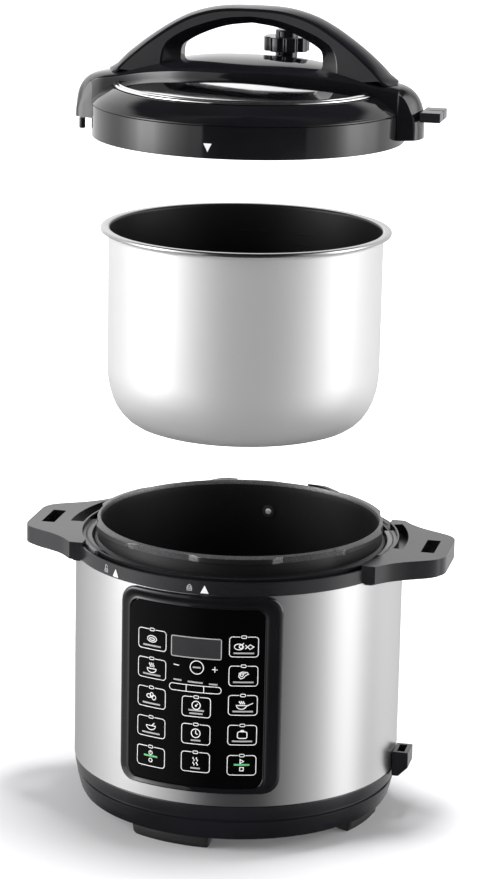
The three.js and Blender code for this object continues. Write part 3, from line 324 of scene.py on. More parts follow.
def make_fine_grain():
    """Moulded or cast grain: a roughness between two limits, and a height for the bump."""
    group, source, target = new_group("fine_grain", [
        ("Vector", "Vector", None), ("Float", "Scale", 900.0),
        ("Float", "Low", 0.2), ("Float", "High", 0.3)], [("Float", "Roughness"), ("Float", "Height")])
    fine = node(group, "TexNoise", Detail=4.0, Roughness=0.6)
    wide = node(group, "TexNoise", Scale=9.0, Detail=2.0)
    blend = node(group, "Math", operation="MULTIPLY_ADD")
    blend.inputs[1].default_value = 0.4
    spread = node(group, "MapRange", From_Min=0.35, From_Max=0.85)
    wire(group, (source, "Vector", fine, "Vector"), (source, "Vector", wide, "Vector"),
         (source, "Scale", fine, "Scale"), (fine, "Fac", blend, 0), (wide, "Fac", blend, 2),
         (blend, 0, spread, "Value"), (source, "Low", spread, "To Min"), (source, "High", spread, "To Max"),
         (spread, "Result", target, "Roughness"), (fine, "Fac", target, "Height"))
    return group


def make_brush_lines():
    """Fine lines that run round the piece: a tone, a roughness and a height."""
    group, source, target = new_group("brush_lines", [
        ("Vector", "Vector", None), ("Vector", "Stretch", (8.0, 8.0, 2200.0)),
        ("Float", "Low", 0.25), ("Float", "High", 0.35),
        ("Color", "Tone A", (0.6, 0.6, 0.6, 1)), ("Color", "Tone B", (0.6, 0.6, 0.6, 1))],
        [("Color", "Color"), ("Float", "Roughness"), ("Float", "Height")])
    stretch = node(group, "VectorMath", operation="MULTIPLY")
    lines = node(group, "TexNoise", Scale=1.0, Detail=3.0, Roughness=0.65)
    spread = node(group, "MapRange", From_Min=0.3, From_Max=0.7)
    wire(group, (source, "Vector", stretch, 0), (source, "Stretch", stretch, 1),
         (stretch, 0, lines, "Vector"), (lines, "Fac", spread, "Value"),
         (source, "Low", spread, "To Min"), (source, "High", spread, "To Max"),
         (spread, "Result", target, "Roughness"), (lines, "Fac", target, "Height"))
    group.links.new(mix_colors(group, lines.outputs["Fac"], source.outputs["Tone A"],
                               source.outputs["Tone B"]), target.inputs["Color"])
    return group


def make_speckle():
    """Small light or dark specks on a ground tone, as on cast or non-stick metal."""
    group, source, target = new_group("speckle", [
        ("Vector", "Vector", None), ("Float", "Scale", 700.0), ("Float", "Amount", 0.3),
        ("Color", "Ground", (0.02, 0.02, 0.02, 1)), ("Color", "Speck", (0.1, 0.1, 0.1, 1))],
        [("Color", "Color"), ("Float", "Height")])
    dots = node(group, "TexNoise", Detail=2.0, Roughness=0.7)
    edge = node(group, "Math", operation="SUBTRACT")
    edge.inputs[0].default_value = 0.78
    spread = node(group, "MapRange", To_Max=1.0)
    wire(group, (source, "Vector", dots, "Vector"), (source, "Scale", dots, "Scale"),
         (source, "Amount", edge, 1), (dots, "Fac", spread, "Value"), (edge, 0, spread, "From Min"))
    spread.inputs["From Max"].default_value = 0.8
    group.links.new(mix_colors(group, spread.outputs["Result"], source.outputs["Ground"],
                               source.outputs["Speck"]), target.inputs["Color"])
    wire(group, (dots, "Fac", target, "Height"))
    return group


TONE_DRIFT = make_tone_drift()
FINE_GRAIN = make_fine_grain()
BRUSH_LINES = make_brush_lines()
SPECKLE = make_speckle()


def grey(value, tint=0.0):
    """A neutral tone, tinted a little to blue."""
    return (value, value, value * (1 + tint), 1)


class Finish:
    """A material under way: its shader, and ways to add the shared effects to it."""

    def __init__(self, name, **sockets):
        self.material = bpy.data.materials.new(name)
        self.material.use_nodes = True
        self.tree = self.material.node_tree
        self.shader = self.tree.nodes["Principled BSDF"]
        for label, value in sockets.items():
            self.shader.inputs[label.replace("_", " ")].default_value = value
        self.place = self.tree.nodes.new("ShaderNodeTexCoord").outputs["Object"]

    def effect(self, group, **values):
        made = self.tree.nodes.new("ShaderNodeGroup")
        made.node_tree = group
        for label, value in values.items():
            made.inputs[label.replace("_", " ")].default_value = value
        self.tree.links.new(self.place, made.inputs["Vector"])
        for label, socket in (("Color", "Base Color"), ("Roughness", "Roughness")):
            if label in made.outputs:
                self.tree.links.new(made.outputs[label], self.shader.inputs[socket])
        return made

    def bump(self, height, strength, distance):
        made = node(self.tree, "Bump", Strength=strength, Distance=distance * MM)
        self.tree.links.new(height, made.inputs["Height"])
        self.tree.links.new(made.outputs["Normal"], self.shader.inputs["Normal"])
        return self.material


def plastic(name, dark, light, low, high, scale=500.0, strength=0.05, **sockets):
    """Moulded plastic: a drifting tone and a fine moulded grain."""
    made = Finish(name, **sockets)
    made.effect(TONE_DRIFT, Scale=14.0, Tone_A=dark, Tone_B=light)
    grain = made.effect(FINE_GRAIN, Scale=scale, Low=low, High=high)
    return made.bump(grain.outputs["Height"], strength, 0.05)


def brushed(name, dark, light, low, high, stretch=(8.0, 8.0, 2200.0), strength=0.04, **sockets):
    """Metal with fine lines round it."""
    made = Finish(name, **{"Metallic": 1.0, **sockets})
    lines = made.effect(BRUSH_LINES, Stretch=stretch, Low=low, High=high, Tone_A=dark, Tone_B=light)
    return made.bump(lines.outputs["Height"], strength, 0.02)


def speckled(name, ground, speck, low, high, scale, amount, strength=0.3, **sockets):
    """Cast or coated metal with specks in it."""
    made = Finish(name, **sockets)
    made.effect(FINE_GRAIN, Scale=scale * 0.6, Low=low, High=high)
    dots = made.effect(SPECKLE, Scale=scale, Amount=amount, Ground=ground, Speck=speck)
    return made.bump(dots.outputs["Height"], strength, 0.08)


GLOSS_BLACK = plastic("gloss_black", grey(0.004, 0.2), grey(0.007, 0.3), 0.05, 0.09, 350.0, 0.01)
GRIP_BLACK = plastic("grip_black", grey(0.005, 0.2), grey(0.009, 0.3), 0.16, 0.22, 500.0, 0.02,
                     Specular_IOR_Level=0.2)
ARCH_FACE = plastic("arch_face", grey(0.020, 0.06), grey(0.028, 0.1), 0.34, 0.42, 900.0, 0.02)
SATIN_BLACK = plastic("satin_black", grey(0.007, 0.2), grey(0.012, 0.3), 0.20, 0.27, 900.0, 0.06)
MATT_BLACK = plastic("matt_black", grey(0.010, 0.1), grey(0.016, 0.2), 0.45, 0.60, 900.0, 0.15)
RUBBER = plastic("rubber", grey(0.010), grey(0.018), 0.6, 0.8, 700.0, 0.2)
PALE_PAD = plastic("pale_pad", grey(0.22, 0.03), grey(0.26, 0.05), 0.30, 0.40, 900.0, 0.1)
WRAP_STEEL = brushed("wrap_steel", grey(0.60), grey(0.63), 0.28, 0.32, strength=0.012)
POLISHED_STEEL = brushed("polished_steel", grey(0.72), grey(0.8), 0.05, 0.09, (60.0, 60.0, 900.0), 0.01)
PLAIN_STEEL = brushed("plain_steel", grey(0.45), grey(0.6), 0.25, 0.4, (300.0, 300.0, 300.0), 0.05)
STUD_STEEL = plastic("stud_steel", grey(0.6), grey(0.75), 0.3, 0.4, 900.0, 0.05, Metallic=0.4)
POT_SATIN = brushed("pot_satin", grey(0.68), grey(0.72), 0.40, 0.48, (10.0, 10.0, 1600.0), 0.02, Metallic=0.6)
POT_EDGE = brushed("pot_edge", grey(0.36), grey(0.42), 0.16, 0.22, (20.0, 20.0, 900.0), 0.01)
NON_STICK = speckled("non_stick", grey(0.006, 0.1), grey(0.03), 0.3, 0.42, 1500.0, 0.12, 0.08)
VESSEL_DARK = speckled("vessel_dark", grey(0.005, 0.2), grey(0.03, 0.1), 0.34, 0.46, 900.0, 0.2, 0.25)
# painted light: a lighter copy of the dark cast finish for the neck between the lugs, so that the shoulder
# under the lugs reads as in shade
VESSEL_NECK_LIT = speckled("vessel_neck_lit", grey(0.02, 0.1), grey(0.12, 0.1), 0.3, 0.42, 1100.0, 0.3, 0.25)
# machined metal face of the rim and the lug tops, painted lighter as well: a painted sheen that stands for
# the bright backdrop reflected on it
VESSEL_FACE_AND_SHEEN = speckled("vessel_face_and_sheen", grey(0.10), grey(0.34), 0.30, 0.42, 1100.0, 0.3, 0.2, Metallic=0.5)
MACHINED = speckled("machined", grey(0.05), grey(0.26), 0.3, 0.5, 900.0, 0.4, 0.3, Metallic=0.3)
SILICONE = plastic("silicone", grey(0.45), grey(0.55), 0.5, 0.6, 600.0, 0.08)
PANEL_GLOSS = plastic("panel_gloss", grey(0.0010), grey(0.0016), 0.12, 0.16, 300.0, 0.004,
                      Specular_IOR_Level=0.08)
PRINT_WHITE = plastic("print_white", grey(0.80), grey(0.88), 0.4, 0.5, 900.0, 0.03)
PRINT_GREY = plastic("print_grey", grey(0.36), grey(0.42), 0.4, 0.5, 900.0, 0.03)
PRINT_GREEN = plastic("print_green", (0.10, 0.50, 0.16, 1), (0.14, 0.60, 0.2, 1), 0.4, 0.5, 900.0, 0.03)
DISPLAY_GLASS = plastic("display_glass", grey(0.030, 0.05), grey(0.038, 0.08), 0.2, 0.26, 400.0, 0.004,
                        Specular_IOR_Level=0.15)
HEATER_METAL = brushed("heater_metal", grey(0.5), grey(0.6), 0.3, 0.42, (40.0, 40.0, 500.0), 0.05)
BOARD_GREEN = plastic("board_green", (0.01, 0.07, 0.03, 1), (0.015, 0.1, 0.04, 1), 0.35, 0.45)
WHITE_PLASTIC = plastic("white_plastic", grey(0.6), grey(0.68), 0.4, 0.5)


# ---------- base unit ----------
def make_housing():
    r = BODY_R
    low = HOUSING_LOW
    profile = [(28, low), (r - 9, low), (r - 7.4, low + 0.7), (r - 5.4, low + 4.2), (r - 4.2, low + 9),
               (r - 2.6, low + 15.5), (r - 2.4, low + 17.0), (r - 3.8, low + 17.8), (r - 3.6, low + 19.4),
               (r - 1.9, low + 20.2), (r - 0.8, low + 26), (r - 0.5, low + 30.2), (r - 1.2, low + 31.3),
               (r - 3.4, low + 31.3), (r - 4, low + 20), (r - 10, low + 2.6), (28, low + 2.6)]
    piece("base_housing_shell", turned(profile), "base", SATIN_BLACK, "base_housing")


def make_feet():
    """Arc feet with rounded ends; the front one is the longest."""
    for i, (start, end) in enumerate(((-30, 3), (62, 86), (150, 180), (240, 270))):
        name = f"foot_{i + 1}"
        top = span(name)[1].z
        foot = arc_block([(106, 0), (121, 0), (123.6, 1.6), (125.5, top + 0.4), (106, top)], start, end, 2)
        piece(f"foot_pad_{i + 1}", foot, "base", RUBBER, name, bevel=3.0, segments=4)


def make_wrap():
    """Thin steel wall with an opening for the mains inlet at the back."""
    rows = [(BODY_R, WRAP_LOW), (BODY_R, WRAP_TOP), (BODY_R - 0.8, WRAP_TOP), (BODY_R - 0.8, WRAP_LOW)]
    port_low, port_high = span("power_inlet")[0].z + 2.8, span("power_inlet")[1].z - 2.8
    port_half = 25.3
    port = block(-port_half, port_half, BODY_R - 30, BODY_R + 10, port_low, port_high)
    wrap = carved(turned(rows, 180), port)
    piece("steel_wrap", wrap, "base", WRAP_STEEL, "body_wrap", angle=40)


def handle_outline(side, inset=0.0):
    """The grip's plan, from the collar round the tip and back."""
    reach = HANDLE_REACH
    half = smooth_line([(reach, 0), (reach, 18), (reach - 0.6, 26), (reach - 3.5, 33), (reach - 9, 38.5),
                        (reach - 18, 44), (reach - 30, 51), (reach - 41, 60), (reach - 50, 71)], 4)
    upper = [(p.x - inset, p.y - inset * min(1, p.y / 20)) for p in half]
    ring = [(x, -y) for x, y in reversed(upper[1:])] + upper
    root = BODY_R - 20
    ring = [(root, -71 + inset)] + ring + [(root, 71 - inset)]
    return ring if side > 0 else [(-x, y) for x, y in reversed(ring)]


def parking_slot(side, clearance):
    """The upright slot through a grip that takes the lid's stand tab."""
    x = side * (HANDLE_REACH - 16.5)
    w, h = 5.5 + clearance, 18.5 + clearance
    return block(x - w, x + w, -h, h, WRAP_TOP - 8, HANDLE_TOP + 5)


PAD_ARCS = ((-95, -52), (78, 112))     # where the two pale pads start and end, in degrees


def make_collar():
    """The collar and both grips are one moulding, with the guide slots and parking slots cut in it."""
    low = WRAP_TOP + 0.3
    ring = turned([(COLLAR_BORE, low), (COLLAR_R, low), (COLLAR_R, COLLAR_TOP - 0.5),
                   (COLLAR_R - 0.5, COLLAR_TOP), (COLLAR_R - 1.3, COLLAR_TOP - 0.1),
                   (COLLAR_BORE + 0.6, COLLAR_TOP - 1.9), (COLLAR_BORE, COLLAR_TOP - 2.6)])
    for side in (-1, 1):
        grip = carved(plate(handle_outline(side), low, HANDLE_TOP),
                      rod(COLLAR_BORE + 0.02, WRAP_TOP - 5, HANDLE_TOP + 30))
        ring = carved(ring, grip, "UNION")
        start, end = (84, 115) if side > 0 else (-124, -86)
        reach = 140.0 if side > 0 else 143.5
        slot = oblong(COLLAR_BORE + 1.4, reach, HANDLE_TOP - 8.3, HANDLE_TOP + 5)
        ring = carved(ring, arc_block(slot, start, end))
        ring = carved(ring, parking_slot(side, 0))
    wall = arc_block(oblong(COLLAR_BORE + 1, COLLAR_R - 0.2, low + 2, REAR_WALL_TOP + 5), 122, 238)
    # the rear wall's top edge, from the right end up to the middle, then mirrored
    rise = smooth_line([(104, COLLAR_TOP), (78, COLLAR_TOP + 4), (56, REAR_WALL_TOP - 2.4),
                        (38, REAR_WALL_TOP), (0, REAR_WALL_TOP)], 5)
    top = [(-112, low), (112, low), (112, COLLAR_TOP - 1)] + [(p.x, p.y) for p in rise]
    top += [(-p[0], p[1]) for p in reversed(top[3:-1])] + [(-112, COLLAR_TOP - 1)]
    wall = carved(wall, upended(plate(top, 0, 60), BODY_R / 2), "INTERSECT")
    ring = carved(ring, wall, "UNION")
    piece("collar_moulding", ring, "base", SATIN_BLACK,
          ["collar_ring", "collar_rim_front", "collar_rim_rear", "side_handle_left", "side_handle_right"],
          bevel=0.9, segments=3)


def make_handle_covers():
    for side, word in ((-1, "left"), (1, "right")):
        cover = carved(plate(handle_outline(side, 3.0), WRAP_TOP - 2, WRAP_TOP + 0.2), parking_slot(side, 1))
        cover = carved(cover, rod(BODY_R + 0.3, WRAP_TOP - 20, WRAP_TOP + 20))
        piece(f"grip_cover_{word}", cover, "base", MATT_BLACK, f"handle_cover_{word}",
              bevel=0.5)


def make_trough():
    """Drip channel round the vessel, with its raised lip and the two pale pads beside the grips."""
    floor = WRAP_TOP + 2.3
    shelf = [(119.6, floor - 3), (132.0, floor - 3), (132.0, floor - 2.2), (130.4, floor - 0.4),
             (119.6, floor - 0.4)]
    piece("trough_seat", turned(shelf), "base", SATIN_BLACK, "trough_ledge", angle=40)
    out, lip, ridge = COLLAR_BORE - 0.3, 126.8, COLLAR_TOP + 0.6
    trough = turned([(119.8, floor), (out, floor), (out, COLLAR_TOP - 4), (out - 0.8, COLLAR_TOP - 4),
                     (lip + 1.6, floor + 2), (lip + 0.9, ridge - 0.6), (lip, ridge), (lip - 0.8, ridge - 0.5),
                     (lip - 1.5, floor + 3), (lip - 2.6, floor + 1.5), (121.3, floor + 1.5),
                     (121.3, floor + 4.7), (119.8, floor + 4.7)])
    pad = [(122.6, floor + 1.2), (COLLAR_BORE - 0.2, floor + 1.2), (COLLAR_BORE - 0.2, COLLAR_TOP - 0.2),
           (COLLAR_BORE - 0.7, COLLAR_TOP), (123.2, COLLAR_TOP), (122.6, COLLAR_TOP - 0.4)]
    pads = paint(added(*[arc_block(pad, start, end) for start, end in PAD_ARCS]), 1)
    piece("drip_channel", added(trough, pads), "base", [SATIN_BLACK, PALE_PAD],
          "drip_trough", angle=40)


LUG_HALF, LUG_RAMP = 18.4, 4.4         # half a lug's length and the length of its ramp, in degrees


def make_lug(middle, thick):
    """One bayonet lug: full height along its length, running out in a ramp at both ends."""
    rim = VESSEL_RIM
    lug = arc_block([(NECK_R - 1.5, rim - thick), (LUG_R - 0.5, rim - thick), (LUG_R, rim - thick + 0.5),
                     (LUG_R, rim - 1.6), (LUG_R - 0.8, rim - 0.8), (NECK_R - 1.5, rim - 0.25)],
                    middle - LUG_HALF, middle + LUG_HALF, 2.2)
    for v in lug.verts:
        r = v.co.xy.length
        turn = (math.degrees(math.atan2(v.co.x, -v.co.y)) - middle + 180) % 360 - 180
        share = min(1.0, (LUG_HALF - abs(turn)) / LUG_RAMP)
        if r > NECK_R:
            v.co.xy = polar(NECK_R + 0.1 + (r - NECK_R) * max(share, 0.0), middle + turn).xy
    for face in lug.faces:
        centre = face.calc_center_median()
        turn = (math.degrees(math.atan2(centre.x, -centre.y)) - middle + 180) % 360 - 180
        face.material_index = 3 if abs(turn) > LUG_HALF - LUG_RAMP and centre.xy.length > NECK_R else 0
        # upward faces take the rim's face finish: machined metal, lightened by painted sheen
        if face.normal.z > 0.6:
            face.material_index = 1
    return lug


def make_vessel():
    """Cast vessel with six bayonet lugs round its neck."""
    rim, floor, shoulder = VESSEL_RIM, VESSEL_FLOOR, WRAP_TOP + 7.3
    thick = 5.9
    body = turned([
        (24, floor), (VESSEL_R - 10, floor), (VESSEL_R - 4, floor + 1.5), (VESSEL_R + 1.6, floor + 7),
        (VESSEL_R + 2.2, floor + 13), (VESSEL_R + 2.2, WRAP_TOP + 2), (NECK_R, WRAP_TOP + 4),
        (NECK_R, shoulder), (NECK_R + 2.6, shoulder), (NECK_R + 2.9, shoulder + 1.4),
        (NECK_R + 2.2, shoulder + 2.7),
        (NECK_R, shoulder + 4.2), (NECK_R, rim - thick), (NECK_R, rim - 1.2), (NECK_R - 0.6, rim - 0.5),
        (VESSEL_R + 2.1, rim), (VESSEL_R + 1.3, rim - 0.2), (VESSEL_R + 0.8, rim - 1.2),
        (VESSEL_R + 0.4, rim - 3.4), (VESSEL_R, rim - 9), (VESSEL_R, floor + 14), (VESSEL_R - 1.2, floor + 8),
        (VESSEL_R - 4, floor + 4), (VESSEL_R - 10, floor + 2), (24, floor + 2)])
    # painted light: the neck between the lugs takes the lighter copy of the cast finish, and the shoulder
    # under the lugs stays dark as painted shade
    paint(body, 2, lambda c, n: c.z > rim - thick - 0.1 and c.xy.length > NECK_R - 0.4)
    # the rim's top and inner lip: machined metal, lightened by painted sheen
    paint(body, 1, lambda c, n: c.z > rim - 3.5 and c.xy.length < NECK_R - 0.2)
    lugs = [make_lug(10.9 + 60 * i, thick) for i in range(6)]
    piece("vessel_casting", added(body, *lugs), "base",
          [VESSEL_DARK, VESSEL_FACE_AND_SHEEN, VESSEL_NECK_LIT, MACHINED], "pressure_vessel", angle=40)


def make_vessel_stud():
    """Small steel stud with its seal, on the rear wall inside the vessel."""
    low, high = span("vessel_stud")
    z, y = (low.z + high.z) / 2, VESSEL_R - 0.3
    disc = turned([(0.0, 0), (2.6, 0), (2.6, 1.0), (1.9, 1.8), (0.0, 2.1)], 24)
    washer = turned([(2.7, 0), (5.4, 0), (5.2, 0.6), (2.7, 0.9)], 24)
    stud = added(disc, paint(washer, 1))
    bmesh.ops.transform(stud, matrix=Matrix(((1, 0, 0, 0), (0, 0, -1, y), (0, 1, 0, z), (0, 0, 0, 1))),
                        verts=stud.verts)
    piece("wall_stud", stud, "base", [STUD_STEEL, RUBBER], "vessel_stud", angle=40)


def make_heater():
    """Heater plate on three legs, with two shallow grooves in its face, and the sensor's cap."""
    low, high = span("heater_plate")
    r = high.x
    plate_shape = turned([(12.8, high.z - 10), (r - 3, high.z - 10), (r, high.z - 7), (r, high.z - 1.2),
                          (r - 1.2, high.z), (60, high.z), (59.4, high.z - 0.5), (58.6, high.z - 0.5),
                          (58, high.z), (34, high.z), (33.4, high.z - 0.5), (32.6, high.z - 0.5),
                          (32, high.z), (13.4, high.z), (12.8, high.z - 0.6)])
    legs = [rod(5, low.z, high.z - 9, 24, polar(74, a).xy) for a in (0, 120, 240)]
    piece("heater_casting", added(plate_shape, *legs), "base", HEATER_METAL, "heater_plate",
          angle=40)
    low, high = span("sensor_plunger")
    cap = turned([(0.0, low.z), (3.5, low.z), (3.5, high.z - 6.2), (9.6, high.z - 6.2), (9.6, high.z - 8.7),
                  (12, high.z - 8.7), (12, high.z - 1.2), (10.8, high.z), (0.0, high.z)], 48)
    piece("sensor_cap", cap, "sensor", PLAIN_STEEL, "sensor_plunger", angle=40)


def make_bracket():
    """Utensil bracket under the right handle: a square loop with a tapered lower lip."""
    low, high = span("utensil_bracket")
    half = high.y
    loop = block(low.x - 0.2, high.x, -half, half, low.z, high.z)
    loop = carved(loop, block(low.x + 3.2, high.x - 4, -half + 4, half - 4, low.z - 2, high.z + 2))
    taper = [(high.x - 9, low.z - 1), (high.x + 1, low.z - 1), (high.x + 1, low.z + 9)]
    loop = carved(loop, upended(plate(taper, -20, 20), 0))
    piece("utensil_loop", loop, "base", SATIN_BLACK, "utensil_bracket", bevel=0.7)


def make_inlet():
    """Mains socket: a flange outside the wrap, a box inside it, a recess and three pins."""
    low, high = span("power_inlet")
    face, half = high.y, high.x
    shell = block(-half, half, BODY_R + 0.3, face, low.z, high.z)
    shell = carved(shell, block(-half + 3, half - 3, face - 21, BODY_R + 1, low.z + 3, high.z - 3), "UNION")
    recess = upended(plate([(-14, low.z + 9), (14, low.z + 9), (14, high.z - 15), (9, high.z - 9),
                            (-9, high.z - 9), (-14, high.z - 15)], 0, 30), face - 17)
    shell = carved(shell, recess)
    pins = [block(x - 1, x + 1, face - 18, face - 6, z - 2.5, z + 2.5)
            for x, z in ((-7, low.z + 18), (0, low.z + 24), (7, low.z + 18))]
    pins = paint(added(*pins), 1)
    piece("mains_socket", added(shell, pins), "base", [MATT_BLACK, PLAIN_STEEL], "power_inlet",
          bevel=0.5)


# ---------- control panel, on an arc of the wrap ----------
def on_panel(s, z, r):
    """A panel place: s along the arc from the panel's middle, z up, r out."""
    return polar(r, PANEL_AZIMUTH + math.degrees(s / PANEL_R), z)


def round_rect(left, right, low, high, radius, corner=6, side=20):
    """A rounded rectangle with extra points along its sides, so that it bends with the body."""
    points = []
    corners = [(right - radius, low + radius, -90), (right - radius, high - radius, 0),
               (left + radius, high - radius, 90), (left + radius, low + radius, 180)]
    for i, (cx, cz, start) in enumerate(corners):
        for k in range(corner + 1):
            a = math.radians(start + 90 * k / corner)
            points.append((cx + radius * math.cos(a), cz + radius * math.sin(a)))
        nx, nz, turn = corners[(i + 1) % 4]
        a = math.radians(turn)
        end = (nx + radius * math.cos(a), nz + radius * math.sin(a))
        last = points[-1]
        for k in range(1, side):
            t = k / side
            points.append((last[0] + (end[0] - last[0]) * t, last[1] + (end[1] - last[1]) * t))
    return points


# places along the panel's arc, from its middle: the frame's two sides, then the opening for the key sheet
FRAME_LEFT, FRAME_RIGHT = -68.9, 71.0
WINDOW = (-59.6, 56.0, PANEL_LOW + 4.6, PANEL_HIGH - 10.2)


def make_panel():
    """Raised frame, key sheet and display window."""
    left, right, low, high = WINDOW
    rings = []
    # outer wall, a rounded outer lip, a broad fall towards the middle, a thin inner lip and the drop
    for share, r in ((0.0, BODY_R + 0.1), (0.0, PANEL_R - 1.6), (0.04, PANEL_R - 0.7), (0.12, PANEL_R - 0.15),
                     (0.24, PANEL_R), (0.36, PANEL_R - 0.25), (0.62, PANEL_R - 1.1), (0.82, PANEL_R - 1.25),
                     (0.88, PANEL_R - 0.8), (0.93, PANEL_R - 0.6), (0.98, PANEL_R - 0.8),
                     (1.02, PANEL_R - 2.4)):
        outline = round_rect(FRAME_LEFT + (left - FRAME_LEFT) * share,
                             FRAME_RIGHT + (right - FRAME_RIGHT) * share,
                             PANEL_LOW + (low - PANEL_LOW) * share,
                             PANEL_HIGH + (high - PANEL_HIGH) * share, 14 - 5 * share)
        rings.append([on_panel(s, z, r) for s, z in outline])
    back = [on_panel(s, z, BODY_R + 0.1) for s, z in round_rect(left, right, low, high, 9)]
    bezel = loft(rings + [back], closed=True)
    piece("panel_bezel", bezel, "base", GLOSS_BLACK, "panel_frame", angle=60)

    sheet = bent_plate(round_rect(left + 0.3, right - 0.3, low + 0.3, high - 0.3, 9), OVERLAY_R - 1.3,
                       OVERLAY_R - 0.5)
    piece("key_sheet", sheet, "base", PANEL_GLOSS, "panel_overlay", angle=60)

    s0, s1, z0, z1 = -19.9, 20.7, PANEL_HIGH - 51.4, PANEL_HIGH - 35.4
    window = bent_plate(round_rect(s0, s1, z0, z1, 0.8, 3, 8), OVERLAY_R - 0.8, OVERLAY_R - 0.4)
    edge = paint(bent_frame(s0, s1, z0, z1, 0.8, 0.8, OVERLAY_R - 0.8, OVERLAY_R - 0.35), 1)
    piece("display_pane", added(window, edge), "base", [DISPLAY_GLASS, PRINT_GREY],
          "display_window", angle=40)


def bent_plate(outline, r0, r1):
    """A thin plate over the panel's arc, cut in upright strips so that it follows the arc."""
    left, right = min(p[0] for p in outline), max(p[0] for p in outline)
    bm = plate(outline, r0, r1)
    step = 4.0
    s = math.ceil(left / step) * step
    while s < right:
        bmesh.ops.bisect_plane(bm, geom=[*bm.verts, *bm.edges, *bm.faces], plane_co=(s, 0, 0),
                               plane_no=(1, 0, 0), dist=1e-4)
        s += step
    for v in bm.verts:
        v.co = on_panel(v.co.x, v.co.y, v.co.z)
    return tidy(bm)


def bent_frame(left, right, low, high, radius, width, r0, r1):
    """A rounded frame of even width over the panel's arc."""
    outer = round_rect(left - width, right + width, low - width, high + width, radius + width, 3, 10)
    inner = round_rect(left, right, low, high, radius, 3, 10)
    return loft([[on_panel(s, z, r) for s, z in line] for line, r in
                 ((outer, r0), (outer, r1), (inner, r1), (inner, r0))], closed=True)


def even_steps(points, closed, step=2.5):
    """Adds points along the long runs of a line, so that it bends with the panel."""
    ends = points[1:] + points[:1] if closed else points[1:]
    line = []
    for (x0, z0), (x1, z1) in zip(points, ends):
        count = max(1, math.ceil(math.hypot(x1 - x0, z1 - z0) / step))
        line += [(x0 + (x1 - x0) * k / count, z0 + (z1 - z0) * k / count) for k in range(count)]
    return line if closed else line + [points[-1]]


def strokes(lines, width, height, r):
    """Printed lines: a flat curve with a round section, pressed flat and bent onto the panel."""
    curve = bpy.data.curves.new("lines", "CURVE")
    curve.dimensions = "2D"
    curve.bevel_depth = width / 2
    curve.bevel_resolution = 1
    curve.use_fill_caps = True
    for points, closed in lines:
        points = even_steps(points, closed)
        spline = curve.splines.new("POLY")
        spline.points.add(len(points) - 1)
        for target, point in zip(spline.points, points):
            target.co = (point[0], point[1], 0, 1)
        spline.use_cyclic_u = closed
    obj = bpy.data.objects.new("lines", curve)
    bpy.context.collection.objects.link(obj)
    made = obj.evaluated_get(bpy.context.evaluated_depsgraph_get())
    bm = bmesh.new()
    bm.from_mesh(made.to_mesh())
    made.to_mesh_clear()
    bpy.data.objects.remove(obj)
    bpy.data.curves.remove(curve)
    for v in bm.verts:
        v.co = on_panel(v.co.x, v.co.y, r + v.co.z * height / (width / 2))
    return tidy(bm)


def arc(cx, cz, rx, rz, start=0, end=360, steps=16):
    full = end - start >= 360
    count = steps if full else steps + 1
    return [(cx + rx * math.cos(math.radians(start + (end - start) * k / steps)),
             cz + rz * math.sin(math.radians(start + (end - start) * k / steps))) for k in range(count)]


def wave(x, z, tall, sway=0.7):
    """A short upright steam line."""
    return [(x + sway * math.sin(2 * math.pi * k / 8), z + tall * k / 8) for k in range(9)]


def bowl(x, z, half, deep):
    """A half-round bowl, with the flag that closes its line."""
    return [(x - half, z), *arc(x, z, half, deep, 180, 360, 12), (x + half, z)], True


